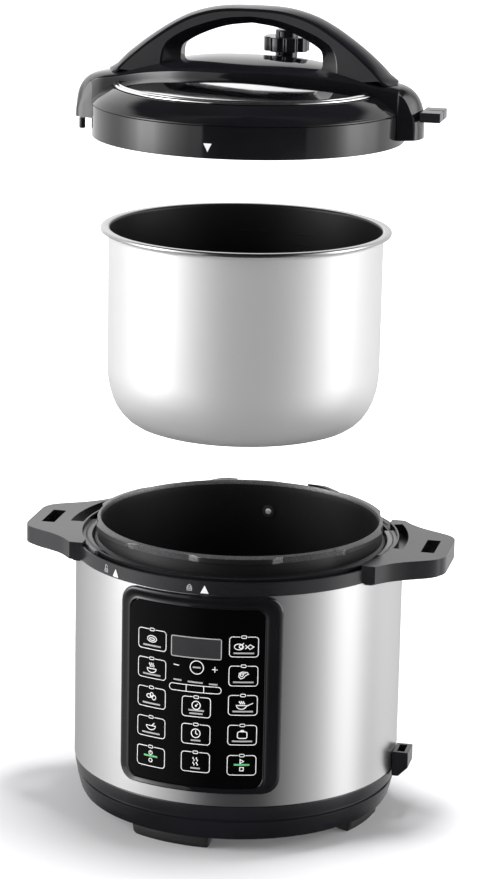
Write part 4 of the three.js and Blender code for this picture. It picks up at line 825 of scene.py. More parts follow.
def icons():
    """Line pictures on the keys, as (column, row) -> open and closed lines, about each key's middle."""
    circle = (arc(0, 2.2, 4, 4), True)
    return {
        ("left", 0): [(arc(0, 1.8, 4.6, 2.9), True), (arc(0, 1.6, 2.6, 1.1), True)],
        ("left", 1): [bowl(0, 1.0, 4.6, 3.6), (wave(-1.8, 2.6, 3.6), False), (wave(0, 2.6, 3.6), False),
                      (wave(1.8, 2.6, 3.6), False)],
        ("left", 2): [(arc(-2.4, 2.4, 2.3, 1.7), True), (arc(0.4, 3.4, 1.6, 2.2), True),
                      (arc(2.6, 1.4, 1.9, 2.1), True)],
        ("left", 3): [bowl(0, 2.4, 4.6, 3.8), ([(0.8, 2.2), (3.4, 5.2)], False)],
        ("left", 4): [(arc(0, 4.4, 2.0, 2.0, -240, 60), False), ([(0, 4.6), (0, 7.2)], False),
                      (arc(0, -3.6, 1.9, 1.9), True)],
        ("middle", 0): [(arc(0, 2.8, 3.8, 3.8), True), ([(-0.4, 2.2), (1.6, 4.4)], False),
                        (arc(-0.2, 2.4, 0.5, 0.5), True)],
        ("middle", 1): [circle, ([(0, 4.8), (0, 2.2), (1.7, 1.2)], False)],
        ("middle", 2): [(wave(-1.5, 2.2, 3.4), False), (wave(1.5, 2.2, 3.4), False),
                        (wave(-1.5, -1.6, 2.8), False), (wave(1.5, -1.6, 2.8), False)],
        ("right", 0): [(arc(-4.4, 1.4, 4.0, 2.6), True), (arc(-2.6, 1.6, 1.5, 1.6), True),
                       ([(-1.6, 3.2), (-0.2, 5.0)], False),
                       ([(1.2, 3.0), (3.0, 1.4), (5.4, 3.4), (8.6, 1.4), (5.4, -0.8), (3.0, 1.4),
                         (1.2, -0.4)], False)],
        ("right", 1): [([(-3.6, 3.8), (-1.0, 5.0), (3.4, 4.6), (4.4, 3.0), (1.6, 1.6), (0.4, -0.2),
                         (-2.2, -1.2), (-4.0, 0.6)], True),
                       (arc(-1.4, 2.2, 1.2, 1.3), True), ([(-2.6, 3.4), (1.8, 3.6)], False)],
        ("right", 2): [bowl(-1.2, 1.2, 4.4, 3.4), ([(3.2, 0.6), (8.8, 3.2)], False),
                       (wave(-2.6, 2.4, 2.6), False), (wave(-0.9, 2.4, 2.6), False),
                       (wave(0.8, 2.4, 2.6), False)],
        ("right", 3): [(round_rect(-4.2, 4.2, -1.6, 4.4, 1.6, 3, 3), True),
                       ([(-1.6, 4.8), (1.6, 4.8), (1.0, 5.6), (-1.0, 5.6)], True)],
        ("right", 4): [([(-1.6, 6.6), (2.0, 4.5), (-1.6, 2.4)], True),
                       ([(-1.8, -1.8), (1.8, -1.8), (1.8, -5.4), (-1.8, -5.4)], True)],
    }


# the keys: each column's middle and half a key's width along the arc, the heights of the keys' middles, and
# half a key's height
COLUMNS = {"left": (-38.0, 12.9), "middle": (1.4, 11.8), "right": (39.2, 11.6)}
ROWS = {"left": (177.0, 152.8, 128.4, 103.4, 78.2), "middle": (125.9, 102.9, 79.4),
        "right": (178.0, 153.8, 129.3, 104.2, 78.7)}
KEY_HALF = 8.3
LAST_ROW = 4                   # the row whose two keys have a green bar between two signs


def make_prints():
    """White outlines, pictures and label bars on the key sheet."""
    outlines, pictures, bars, green = [], [], [], []
    pictures_by_key = icons()
    for column, (middle, half) in COLUMNS.items():
        for row, z in enumerate(ROWS[column]):
            top = z + KEY_HALF
            # the outline is open at its top edge, where the key's small lamp window sits
            outlines.append((open_outline(middle, z, half, KEY_HALF, 2.6, 3.1), False))
            outlines.append((round_rect(middle - 2.1, middle + 2.1, top - 1.1, top + 1.1, 1.0, 3, 2), True))
            last = row == LAST_ROW
            size, drop = (0.8, 0.3) if last else (0.92, 1.2)
            for line, closed in pictures_by_key[(column, row)]:
                pictures.append(([(middle + size * x, z - drop + size * y) for x, y in line], closed))
            if last:
                green.append(([(middle - 6.3, z + 0.4), (middle + 6.3, z + 0.4)], False))
            elif (column, row) == ("middle", 0):
                bars.append(([(middle - 6.5, z - 2.9), (middle + 6.5, z - 2.9)], False))
                bars.append(([(middle - 5.5, z - 5.6), (middle + 5.5, z - 5.6)], False))
            else:
                wide = 4.0 if column == "middle" else 8.2
                bars.append(([(middle - wide, z - 5.2), (middle + wide, z - 5.2)], False))
    # under the display: a round key between a minus and a plus, and a row of three fields with label bars
    pictures += [(arc(1.4, 159.0, 5.5, 5.5, 0, 360, 28), True),
                 ([(-18.2, 159.6), (-13.6, 159.2)], False),
                 ([(13.8, 158.4), (18.6, 158.2)], False), ([(16.2, 156.0), (16.2, 160.6)], False)]
    bars += [([(-1.9, 159.0), (4.7, 159.0)], False), ([(-18.2, 147.2), (-11.2, 147.0)], False),
             ([(-6.0, 146.6), (6.6, 146.4)], False), ([(11.6, 146.0), (18.6, 145.8)], False)]
    outlines += [(round_rect(-21.6, 21.6, 138.2, 143.8, 2.7, 5, 8), True),
                 ([(-7.2, 138.2), (-7.2, 143.8)], False), ([(7.4, 138.2), (7.4, 143.8)], False)]
    r = OVERLAY_R - 0.47
    prints = added(strokes(outlines, 0.62, 0.1, r), strokes(pictures, 0.72, 0.12, r),
                   paint(strokes(bars, 1.3, 0.1, r), 1), paint(strokes(green, 1.5, 0.12, r), 2))
    piece("key_prints", prints, "base", [PRINT_WHITE, PRINT_GREY, PRINT_GREEN], angle=60)


def open_outline(middle, z, half, tall, radius, gap):
    """A rounded key outline that starts and ends beside the lamp window in its top edge."""
    points = [(middle + gap, z + tall)]
    for cx, cz, start in ((half - radius, tall - radius, 90), (half - radius, radius - tall, 0),
                          (radius - half, radius - tall, -90), (radius - half, tall - radius, -180)):
        for k in range(6):
            a = math.radians(start - 90 * k / 5)
            points.append((middle + cx + radius * math.cos(a), z + cz + radius * math.sin(a)))
    points.append((middle - gap, z + tall))
    return points


def padlock(middle, z, open_shackle):
    """A small padlock drawn with lines."""
    lift = 1.2 if open_shackle else 0
    return [(round_rect(middle - 2.0, middle + 2.0, z - 1.8, z + 0.8, 0.3, 2, 2), True),
            ([(middle - 1.3, z + 0.8), (middle - 1.3, z + 2.0 + lift), (middle, z + 2.9 + lift),
              (middle + 1.3, z + 2.0 + lift), (middle + 1.3, z + (1.8 if open_shackle else 0.8))], False),
            ([(middle - 1.5, z - 0.5), (middle + 1.5, z - 0.5)], False)]


def arrow(azimuth, z, tall, r, up=True):
    """A thin triangle on an upright round face."""
    tip, foot = (z + tall, z) if up else (z, z + tall)
    half = math.degrees(3.3 / r)
    return loft([[polar(r + out, azimuth - half, foot), polar(r + out, azimuth + half, foot),
                  polar(r + out, azimuth, tip)] for out in (-0.3, 0.15)])


def make_marks():
    """Lock marks: two triangles and two padlocks on the collar, and a triangle on the lid's skirt."""
    marks = added(arrow(-34, 220.4, 6.6, COLLAR_R), arrow(1, 220.4, 6.6, COLLAR_R))
    lines = [line for where, is_open in ((-39.0, True), (-4.2, False))
             for line in padlock(math.radians(where - PANEL_AZIMUTH) * PANEL_R, 223.8, is_open)]
    locks = paint(strokes(lines, 0.7, 0.12, COLLAR_R + 0.05), 1)
    piece("collar_marks", added(marks, locks), "base", [PRINT_WHITE, PRINT_GREY], angle=60)
    piece("lid_mark", arrow(-1.8, LID_LOW + 5.3, 6.4, SKIRT_R, up=False), "lid", PRINT_WHITE,
          angle=60)


# ---------- inner pot ----------
def make_pot():
    """Inner pot with a rolled rim, satin outside and dark inside."""
    low, top, inside = POT_LOW, POT_HIGH, POT_R - 1.5

    def bend(r0, z0, r1, z1, steps=9):
        """The quarter-round from the flat floor to the upright wall."""
        return [(r0 + (r1 - r0) * math.sin(math.radians(90 * k / steps)) ** 0.92,
                 z1 + (z0 - z1) * math.cos(math.radians(90 * k / steps)) ** 0.92) for k in range(steps + 1)]

    outer = [(0.0, low + 2.2), (30, low + 2.2), (48, low + 0.6), (56, low)] + bend(78, low, POT_R, low + 50)
    outer += [(POT_R, low + 100), (POT_R, top - 6.5), (POT_R + 0.5, top - 4.2), (POT_R + 1.8, top - 3.1),
              (POT_R + 5.6, top - 3.0)]
    edge = [(POT_R + 6.5, top - 2.6), (POT_R + 6.7, top - 1.6), (POT_R + 6.3, top - 0.5), (POT_R + 5.5, top),
            (POT_R + 1.2, top), (POT_R - 0.4, top - 0.5)]
    inner = [(inside, top - 2.2), (inside, low + 100)] + bend(77, low + 1.5, inside, low + 50)[::-1]
    inner += [(56, low + 1.5), (48, low + 2.1), (30, low + 3.7), (0.0, low + 3.7)]
    pot = turned(outer + edge + inner, 180)
    paint(pot, 1, lambda c, n: c.z > top - 3.4)
    paint(pot, 2, lambda c, n: c.xy.length < POT_R - 0.7 and n.dot(Vector((c.x, c.y, 0)).normalized() * 0.6
                                                                  - Vector((0, 0, 0.8))) < 0)
    piece("pot_body", pot, "pot", [POT_SATIN, POT_EDGE, NON_STICK], "inner_pot", angle=50)


def make_fill_marks():
    """Raised fill lines on the pot's inner wall, at the right of the rear."""
    r = POT_R - 1.5
    marks = []
    for k, (z, half) in enumerate(((POT_HIGH - 24, 7.5), (POT_HIGH - 33, 4.5), (POT_HIGH - 42, 4.5),
                                   (POT_HIGH - 51, 7.5), (POT_HIGH - 66, 4.5), (POT_HIGH - 81, 4.5))):
        for middle in (168.0,) if k else (168.0, 190.0):
            marks.append(arc_block(oblong(r - 0.35, r + 0.1, z, z + 1.2), middle - half, middle + half, 1.5))
    piece("fill_lines", added(*marks), "pot", NON_STICK, angle=40)


# ---------- lid ----------
def lid(z):
    """A height above the lid's lower edge."""
    return LID_LOW + z


def make_lid_cover():
    """Upright skirt, a fine groove, and a sloping shoulder up to the dome."""
    r = SKIRT_R
    crown = smooth_line([(r - 0.9, lid(26.9)), (r - 1.7, lid(28.0)), (r - 5.2, lid(31.9)),
                         (r - 10.5, lid(36.0)), (r - 16.4, lid(39.4))], 4)
    profile = [(r - 2, lid(0.4)), (r - 1.6, lid(0)), (r - 0.4, lid(0)), (r, lid(0.5)), (r, lid(24.6)),
               (r - 0.5, lid(25.1)), (r - 0.9, lid(25.2)), (r - 0.9, lid(25.7)), (r - 0.15, lid(25.9)),
               (r - 0.35, lid(26.4))]
    profile += [(p.x, p.y) for p in crown]
    profile += [(DOME_R + 0.3, lid(39.8)), (DOME_R + 0.3, lid(37.8)), (r - 17, lid(37.4)), (r - 9, lid(32.1)),
                (r - 3, lid(26.5)), (r - 2, lid(25))]
    piece("lid_shell", turned(profile, 180), "lid", GLOSS_BLACK, "lid_cover", angle=40)


def make_trim():
    """Polished ring with two bright lips and a groove between them."""
    low, r = lid(39.8) + 0.3, TRIM_R
    profile = [(r - 2.4, low), (r + 2.4, low), (r + 2.4, low + 0.5), (r + 2.0, low + 1.0),
               (r + 1.0, low + 1.5), (r + 0.3, low + 1.6), (r - 0.1, low + 1.2), (r - 0.6, low + 1.2),
               (r - 0.9, low + 1.8),
               (r - 1.3, low + 2.3), (r - 1.8, low + 2.4), (r - 2.2, low + 2.1), (r - 2.4, low + 1.6)]
    piece("dome_trim", turned(profile, 180), "lid", POLISHED_STEEL, "trim_ring", angle=60)


def dome_height(r):
    """The dome's outer face, a slice of a ball."""
    rise = 13.0
    ball = (DOME_R ** 2 + rise ** 2) / (2 * rise)
    return lid(54) - ball + math.sqrt(ball ** 2 - r ** 2)


def valve_holes(bm, low, high):
    """bm with the holes that the float valve and the steam pipe pass through."""
    for name, r in (("float_valve", 3.8), ("steam_pipe", 5.3)):
        bm = carved(bm, rod(r, low, high, 24, middle_of(name)))
    return bm


def make_dome():
    """Thin steel dome in the middle of the lid."""
    radii = [DOME_R * k / 24 for k in range(25)]
    outer = [(r, dome_height(r)) for r in radii]
    inner = [(r, dome_height(r) - 0.8) for r in reversed(radii)]
    skin = valve_holes(turned(outer + inner, 180), lid(35), lid(60))
    piece("dome_skin", skin, "lid", POLISHED_STEEL, "lid_dome", angle=60)


def along(table, x):
    """Reads a table of (place, value) pairs at a place, evenly on both sides of the middle."""
    x = abs(x)
    for (x0, v0), (x1, v1) in zip(table, table[1:]):
        if x <= x1:
            return v0 + (v1 - v0) * (x - x0) / (x1 - x0)
    return table[-1][1]


def even_table(points):
    """A smooth table through a few (place, value) pairs."""
    return [(p.x, p.y) for p in smooth_line(points, 6)]


# the bridge by distance from the lid's middle: the heights of its crest and of its deck's edge, half its
# width, and the height of its underside over the lid
BRIDGE_CREST = even_table([(0, 64.4), (25, 64.0), (45, 62.3), (74, 57.4), (95, 52.4), (107, 49.9),
                           (122, 47.2), (130, 44.4), (135, 40.6), (138.5, 35.6), (141, 29), (142.4, 20)])
BRIDGE_EDGE = even_table([(0, 56.2), (22, 56.2), (46, 55.2), (74, 51.8), (100, 47.2), (115, 44.6),
                          (122, 43.2), (128, 39.8), (132, 34), (135, 27), (139, 21), (142.4, 14)])
BRIDGE_HALF = even_table([(0, 47), (20, 46), (46, 42.5), (60, 37.5), (74, 32), (90, 27), (105, 25),
                          (116, 24.4), (123, 23), (130, 20.4), (135, 18.4), (138, 16.6), (140, 13.4),
                          (141.5, 8.5), (142.4, 3)])
BLOCK_START = 124.5            # the end blocks begin this far out, and reach down to these heights
LEFT_BLOCK_LOW, RIGHT_BLOCK_LOW = 11.0, 5.5
BRIDGE_SEAT = [(0, 48), (60, 44), (103, 38), (109, 36), (118, 30), (124.5, 25)]


def bridge_section(x, under):
    """One cut across the bridge: upright walls, rounded shoulders and a crowned deck."""
    crest, edge, half = along(BRIDGE_CREST, x), along(BRIDGE_EDGE, x), along(BRIDGE_HALF, x)
    edge = max(edge, under + 1)
    crest = max(crest, edge + 0.2)
    draft = min(0.07 * (edge - under), half * 0.3)
    lip = half - draft - min(1.0, half * 0.2)
    points = [(-half, under), (-half + draft / 2, (under + edge) / 2), (-half + draft, edge - 1.2)]
    count = 26
    for k in range(count + 1):
        v = math.sin(math.pi * (k / count - 0.5))
        points.append((lip * v, crest - (crest - edge) * abs(v) ** 2.7))
    points += [(-y, z) for y, z in reversed(points[:3])]
    return [Vector((x, y, lid(z))) for y, z in points]


def make_bridge():
    """Broad fairing across the lid, with an end block over the skirt on each side."""
    stations = [*range(0, 97, 8), 102, 108, 114, 119, 124.4, 124.6, 127, 129, 131, 132.5, 134, 135.5, 137,
                138.2, 139.3, 140.3, 141.2, 141.9, 142.4]
    loops = []
    for x in [-s for s in reversed(stations[1:])] + stations:
        low = LEFT_BLOCK_LOW if x < 0 else RIGHT_BLOCK_LOW
        if abs(x) < BLOCK_START:
            low = along(BRIDGE_SEAT, x)
        loops.append(bridge_section(x, low))
    shaft = rod(6.7, lid(30), lid(80), 40, middle_of("float_valve"))
    floor = span("steam_knob")[0].z - 0.5
    seat = turned([(0.0, lid(30)), (5.5, lid(30)), (5.5, floor), (9.8, floor), (9.8, lid(80)),
                   (0.0, lid(80))], 40, KNOB_SPOT)
    fairing = carved(carved(loft(loops), shaft), seat)
    piece("lid_fairing", fairing, "lid", GLOSS_BLACK, "lid_bridge", angle=50)


# front edge of the arch, inner edge of its flat front, and the opening; half of each, from the top down
ARCH_FRONT = [(0, 103.4), (19, 102.8), (35, 100.4), (52, 94.8), (68, 86.0), (84, 74.6), (94, 66.4),
              (103, 58.6), (110, 51.5)]
ARCH_INNER = [(0, 97.2), (19, 95.5), (35, 91.5), (52, 85.3), (64, 78.6), (70, 73.2), (73, 66), (74, 58),
              (74, 48)]
ARCH_HOLE = [(0, 91.3), (17, 89.2), (31, 85.4), (44, 80.0), (54, 74.4), (58, 70.4), (59, 64), (59, 57),
             (59, 46)]
ARCH_SET = 3.0                 # how far to the right of the lid's middle the arch stands


def arch_line(half_line):
    """A whole line over the arch from its right half."""
    right = smooth_line(half_line, 5)
    line = [Vector((-p.x, p.y)) for p in reversed(right[1:])] + right
    return [Vector((p.x + ARCH_SET - p.x * 0.02, p.y)) for p in line]


def arch_width(k, count):
    """Half the arch's width: narrow at the grip, wider towards both feet."""
    return 14.6 + 4.6 * abs(2 * k / (count - 1) - 1) ** 2


def make_arch():
    """The carrying arch, with flat faces in front and behind and an opening under it."""
    front, inner, hole = arch_line(ARCH_FRONT), arch_line(ARCH_INNER), arch_line(ARCH_HOLE)
    count = len(front)
    loops = []
    for k, (f, i, h) in enumerate(zip(front, inner, hole)):
        w = arch_width(k, count)
        down = (i - f).normalized() * 0.5
        top = f + down
        loops.append([Vector((x, y, lid(z))) for x, y, z in (
            (top.x, -w + 0.6, top.y), (top.x + down.x, -w, top.y + down.y), (i.x, -w, i.y),
            (i.x + (h.x - i.x) * 0.12, -w + 0.7, i.y + (h.y - i.y) * 0.12), (h.x, -w * 0.42, h.y),
            (h.x, w * 0.42, h.y), (i.x + (h.x - i.x) * 0.12, w - 0.7, i.y + (h.y - i.y) * 0.12),
            (i.x, w, i.y), (top.x + down.x, w, top.y + down.y), (top.x, w - 0.6, top.y))])
    arch = loft(loops)
    paint(arch, 1, lambda centre, normal: abs(normal.y) > 0.97)
    piece("carry_arch", arch, "lid", [GLOSS_BLACK, ARCH_FACE], "handle_arch", angle=30)


def make_cap():
    """Rounded cover along the top of the arch, ending in a tongue at each foot."""
    ends = [(110, 51.5, 0.0), (113, 49.4, 1.4), (115.6, 47.8, 4.4), (117.4, 46.8, 8.6), (118.4, 46.2, 14.0)]
    front = arch_line(ARCH_FRONT)
    widths = [arch_width(k, len(front)) for k in range(len(front))]
    tail = [(x, z, widths[-1] - less) for x, z, less in ends[1:]]
    line = [(Vector((ARCH_SET - x * 0.98, z)), w) for x, z, w in reversed(tail)] + list(zip(front, widths))
    line += [(Vector((ARCH_SET + x * 0.98, z)), w) for x, z, w in tail]
    loops = []
    for k, (p, w) in enumerate(line):
        ahead, behind = line[min(k + 1, len(line) - 1)][0], line[max(k - 1, 0)][0]
        run = (ahead - behind).normalized()
        up = Vector((-run.y, run.x))
        crown = min(1.1 + 3.4 * min(1.0, abs(p.x) / 95) ** 1.6, (104.6 - p.y) / max(up.y, 0.3))
        row = [(-w, -2.4), (-w - 0.3, -1.2), (-w, 0.0)]
        row += [(w * math.sin(math.pi * (j / 14 - 0.5)), crown * math.cos(math.pi * (j / 14 - 0.5)) ** 2)
                for j in range(1, 14)]
        row += [(w, 0.0), (w + 0.3, -1.2), (w, -2.4)]
        loops.append([Vector((p.x + up.x * h, y, lid(p.y + up.y * h))) for y, h in row])
    piece("carry_cap", loft(loops), "lid", GRIP_BLACK, "handle_cap", angle=50)


def make_tab():
    """The tab on the right that stands in a grip's slot, and the guide pin under the left end block."""
    low, high = span("stand_tab")
    reach, root = high.x - 2.6, 141.5
    whole = block(root, reach, low.y, high.y, low.z + 0.4, high.z)
    groove = block(root + 4, reach + 5, -0.2, 1.2, low.z - 1, high.z + 1)
    piece("parking_tab", carved(whole, groove), "lid", SATIN_BLACK, "stand_tab", bevel=0.6)
    low, high = span("guide_pin")
    pin = turned([(0.0, low.z), (2.0, low.z), (2.5, low.z + 0.6), (2.5, high.z + 0.3), (0.0, high.z + 0.3)],
                 24, middle_of("guide_pin"))
    piece("locating_pin", pin, "lid", SATIN_BLACK, "guide_pin", angle=40)


def make_knob():
    """Fluted steam knob with a raised button."""
    low, high = span("steam_knob")
    button, lift = 5.5, 4.2
    top = high.z + lift - button
    flutes, steps = 8, 96
    outline = []
    for k in range(steps):
        a = 360 * k / steps
        dip = max(0.0, math.cos(math.radians(a * flutes))) ** 1.5
        p = polar(18.5 - 2.6 * dip, a)
        outline.append((p.x, p.y))
    bore = 5.5
    grip = carved(plate(outline, low.z + lift + 4.5, top), rod(bore, low.z, top - lift - 3, 24))
    foot = turned(oblong(bore, 9, low.z, low.z + lift + 5.5), 48)
    stem = turned([(0.0, top - 1), (9.6, top - 1), (9.2, top + 1), (9.2, top + button - 0.8),
                   (8.4, top + button), (3.2, top + button), (2.6, top + button - 1.4),
                   (0.0, top + button - 1.4)], 48)
    knob = added(grip, foot, stem)
    bmesh.ops.transform(knob, matrix=Matrix.Translation((*KNOB_SPOT, 0)), verts=knob.verts)
    piece("steam_dial", knob, "steam_valve", GLOSS_BLACK, "steam_knob", bevel=0.8, segments=3)


def make_lid_inside():
    """Pressure plate with its six lugs, and the sealing ring."""
    low, high = span("pressure_plate")
    under, top = high.z - 4.8, high.z - 3
    inner, outer = 122.3, 123.6
    lug_low = low.z
    plate_shape = turned([
        (0.0, under + 3), (60, under + 3), (90, under + 1.2), (98, under), (inner, under), (inner, lug_low),
        (outer, lug_low), (outer, under), (outer - 1.8, top), (98, top), (90, top + 1.2), (60, top + 3),
        (0.0, top + 3)], 180)
    plate_shape = valve_holes(plate_shape, under - 5, top + 8)
    lug = oblong(NECK_R + 0.6, inner + 0.6, lug_low, lug_low + 4)
    lugs = [arc_block(lug, 15.7 + 60 * i - 13, 15.7 + 60 * i + 13, 2.6) for i in range(6)]
    piece("locking_plate", added(plate_shape, *lugs), "lid", PLAIN_STEEL,
          "pressure_plate", angle=40)
    low, high = span("sealing_ring")
    out, inn = 119.5, 107.0
    lip = turned([(inn, low.z + 1.5), (inn + 0.5, low.z + 0.5), (inn + 1.5, low.z), (inn + 5, low.z + 0.6),
                  (inn + 6, low.z + 2.2), (inn + 8, low.z + 2.2), (inn + 9.4, low.z + 0.9),
                  (out - 0.6, low.z + 0.9), (out, low.z + 1.6), (out, high.z), (inn, high.z)])
    piece("seal_lip", lip, "seal", SILICONE, "sealing_ring", angle=60)


# ---------- finishes for the CAD nodes that stay ----------
KEPT_NODES = (
    (PLAIN_STEEL, "bottom_cover", "cover_screw_1", "cover_screw_2", "cover_screw_3", "cover_screw_4",
     "vessel_stay_1", "vessel_stay_2", "vessel_stay_3", "heating_element", "sensor_cup", "sensor_spring",
     "seal_rack", "steam_pipe", "anti_block_shield", "float_valve", "float_guide"),
    (BOARD_GREEN, "power_board", "control_board"),
    (MATT_BLACK, "power_relay", "board_transformer", "pressure_switch", "centre_spacer"),
    (WHITE_PLASTIC, "thermal_fuse"),
    (SILICONE, "float_seal"),
)


def finish_kept_nodes():
    for finish, *names in KEPT_NODES:
        for name in names:
            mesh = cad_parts[name].data
            mesh.materials.clear()
            mesh.materials.append(finish)


# ---------- studio ----------
CAMERA_TURN = 12.3             # the camera stands this far round to the right of the front, in degrees
CAMERA_PITCH = 75.7            # up from looking straight down, in degrees
CAMERA_ROLL = 1.2              # in degrees
CAMERA_PLACE = (0.5146, -2.3441, 0.924)


def make_camera():
    camera = bpy.data.cameras.new("camera")
    camera.lens = 123.03
    camera.sensor_width = 36
    obj = bpy.data.objects.new("camera", camera)
    bpy.context.collection.objects.link(obj)
    obj.matrix_world = (Matrix.Translation(CAMERA_PLACE)
                        @ Matrix.Rotation(math.radians(CAMERA_TURN), 4, "Z")
                        @ Matrix.Rotation(math.radians(CAMERA_PITCH), 4, "X")
                        @ Matrix.Rotation(math.radians(CAMERA_ROLL), 4, "Z"))
    bpy.context.scene.camera = obj


# brightness of the studio round the object, by degrees from the camera's side: near the floor, and above it
STUDIO_LOW = [(-180, 0.6), (-165, 0.47), (-145, 0.6), (-133, 0.75), (-115, 0.9), (-101, 1.1), (-90, 1.25),
              (-72, 1.0), (-55, 0.8), (-39, 0.6), (-30, 0.35), (-20, 0.08), (20, 0.08), (30, 0.28),
              (38, 0.45), (50, 0.66), (60, 0.85), (68, 1.2), (76, 1.7), (86, 1.9), (94, 1.2), (102, 0.8),
              (110, 0.75), (120, 1.1), (145, 0.95), (165, 0.72), (180, 0.6)]
STUDIO_HIGH = [(-180, 1.2), (-172, 1.4), (-116, 1.2), (-108, 1.4), (-99, 2.4), (-90, 4.4), (-85, 6.6),
               (-73, 6.8), (-66, 4.4), (-60, 3.0), (-52, 1.8), (-43, 1.0), (-33.2, 0.9), (-32.4, 0.06),
               (0, 0.04), (42.5, 0.05), (43.5, 0.38), (52, 0.55), (59, 0.85), (66, 1.5), (73, 3.0),
               (79, 4.7), (87, 4.5), (95, 3.4), (104, 2.6), (112, 1.4), (120, 1.2), (172, 0.95), (180, 1.2)]
STUDIO_PEAK = 7.0              # the ramps hold the tables' values divided by this


def studio_ramp(tree, share, table):
    """A brightness table as a ramp over the full turn."""
    ramp = node(tree, "ValToRGB")
    stops = ramp.color_ramp.elements
    stops[0].position, stops[1].position = 0.0, 1.0
    for stop, (_, value) in zip((stops[0], stops[1]), (table[0], table[-1])):
        stop.color = (value / STUDIO_PEAK,) * 3 + (1,)
    for turn, value in table[1:-1]:
        stop = stops.new((turn + 180) / 360)
        stop.color = (value / STUDIO_PEAK,) * 3 + (1,)
    wire(tree, (share, "Result", ramp, "Fac"))
    return ramp.outputs["Color"]


def height_fade(tree, height, start, end, first, last):
    """A factor that runs from first to last between two angles above the horizon."""
    fade = node(tree, "MapRange", interpolation_type="SMOOTHSTEP", From_Min=math.sin(math.radians(start)),
                From_Max=math.sin(math.radians(end)), To_Min=first, To_Max=last)
    tree.links.new(height, fade.inputs["Value"])
    return fade.outputs["Result"]


def make_world():
    """Light by direction from the two tables, faded above and below; only the camera sees plain white."""
    world = bpy.data.worlds.new("studio")
    bpy.context.scene.world = world
    world.use_nodes = True
    tree = world.node_tree
    tree.nodes.clear()
    place = node(tree, "TexCoord")
    turn = node(tree, "Mapping", vector_type="POINT")
    turn.inputs["Rotation"].default_value = (0, 0, math.radians(-CAMERA_TURN))
    parts = node(tree, "SeparateXYZ")
    back = node(tree, "Math", operation="MULTIPLY")
    back.inputs[1].default_value = -1
    around = node(tree, "Math", operation="ARCTAN2")
    share = node(tree, "MapRange", From_Min=-math.pi, From_Max=math.pi)
    wire(tree, (place, "Generated", turn, "Vector"), (turn, "Vector", parts, "Vector"),
         (parts, "Y", back, 0), (parts, "X", around, 0), (back, 0, around, 1), (around, 0, share, "Value"))
    height = parts.outputs["Z"]
    low, high = studio_ramp(tree, share, STUDIO_LOW), studio_ramp(tree, share, STUDIO_HIGH)
    level = mix_colors(tree, height_fade(tree, height, -13.0, -8.5, 0.0, 1.0), low, high)
    for start, end, first, last in ((34, 43, 1.0, 0.03), (-42, -17, 0.04, 1.0)):
        scaled = node(tree, "VectorMath", operation="SCALE")
        tree.links.new(level, scaled.inputs[0])
        tree.links.new(height_fade(tree, height, start, end, first, last), scaled.inputs["Scale"])
        level = scaled.outputs[0]
    studio = node(tree, "Background", Strength=STUDIO_PEAK)
    white = node(tree, "Background", Strength=1.0)
    white.inputs["Color"].default_value = (1, 1, 1, 1)
    rays = node(tree, "LightPath")
    choose = node(tree, "MixShader")
    output = node(tree, "OutputWorld")
    tree.links.new(level, studio.inputs["Color"])
    wire(tree, (rays, "Is Camera Ray", choose, "Fac"), (studio, "Background", choose, 1),
         (white, "Background", choose, 2), (choose, "Shader", output, "Surface"))


def make_lamps():
    """A small lamp high above and a broad one from the camera's side; neither shows in gloss."""
    for name, spot, aim, size, power in (
            ("top_lamp", (0.12, 0.16, 2.6), (0, 0, 0.1), (0.5, 0.5), 58.0),
            ("front_lamp", (0.7, -3.0, 0.75), (0, 0, 0.35), (1.2, 1.0), 22.0)):
        light = bpy.data.lights.new(name, "AREA")
        light.shape = "RECTANGLE"
        light.size, light.size_y = size
        light.energy = power
        lamp = bpy.data.objects.new(name, light)
        bpy.context.collection.objects.link(lamp)
        way = Vector(aim) - Vector(spot)
        lamp.matrix_world = Matrix.Translation(spot) @ way.to_track_quat("-Z", "Y").to_matrix().to_4x4()
        lamp.visible_glossy = False


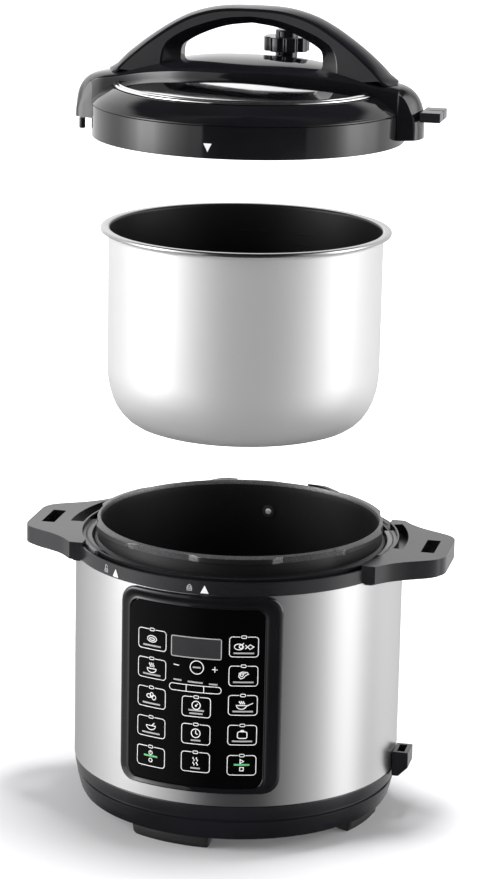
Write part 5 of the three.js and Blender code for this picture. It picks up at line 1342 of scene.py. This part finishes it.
def make_floor():
    """Pale floor that takes the object's shadow."""
    bm = bmesh.new()
    bmesh.ops.create_circle(bm, cap_ends=True, segments=96, radius=12.0)
    mesh = bpy.data.meshes.new("floor")
    bm.to_mesh(mesh)
    bm.free()
    floor = bpy.data.objects.new("floor", mesh)
    bpy.context.collection.objects.link(floor)
    material = bpy.data.materials.new("pale_floor")
    material.use_nodes = True
    tree = material.node_tree
    tree.nodes.clear()
    diffuse = node(tree, "BsdfDiffuse")
    diffuse.inputs["Color"].default_value = (0.86, 0.855, 0.87, 1)
    # far from the object the floor lights up by itself, so that it runs into the white backdrop
    place = node(tree, "TexCoord")
    reach = node(tree, "VectorMath", operation="LENGTH")
    lift = node(tree, "MapRange", interpolation_type="SMOOTHSTEP", From_Min=0.35, From_Max=0.9,
                To_Min=0.04, To_Max=1.0)
    glow = node(tree, "Emission")
    rays = node(tree, "LightPath")
    either = node(tree, "Math", operation="MAXIMUM")
    through = node(tree, "Math", operation="MAXIMUM")
    strength = node(tree, "Math", operation="MULTIPLY")
    both = node(tree, "AddShader")
    output = node(tree, "OutputMaterial")
    wire(tree, (place, "Object", reach, 0), (reach, "Value", lift, "Value"),
         (rays, "Is Camera Ray", either, 0), (rays, "Is Glossy Ray", either, 1), (either, 0, through, 0),
         (rays, "Is Transmission Ray", through, 1), (through, 0, strength, 0),
         (lift, "Result", strength, 1), (strength, 0, glow, "Strength"), (diffuse, "BSDF", both, 0),
         (glow, "Emission", both, 1), (both, "Shader", output, "Surface"))
    mesh.materials.append(material)
    floor.visible_glossy = False


bpy.context.scene.view_settings.view_transform = "Standard"
make_camera()
make_world()
make_lamps()
make_floor()

make_housing()
make_feet()
make_wrap()
make_collar()
make_handle_covers()
make_trough()
make_vessel()
make_vessel_stud()
make_heater()
make_bracket()
make_inlet()
make_panel()
make_prints()
make_marks()
make_pot()
make_fill_marks()
make_lid_cover()
make_trim()
make_dome()
make_bridge()
make_arch()
make_cap()
make_tab()
make_knob()
make_lid_inside()
finish_kept_nodes()
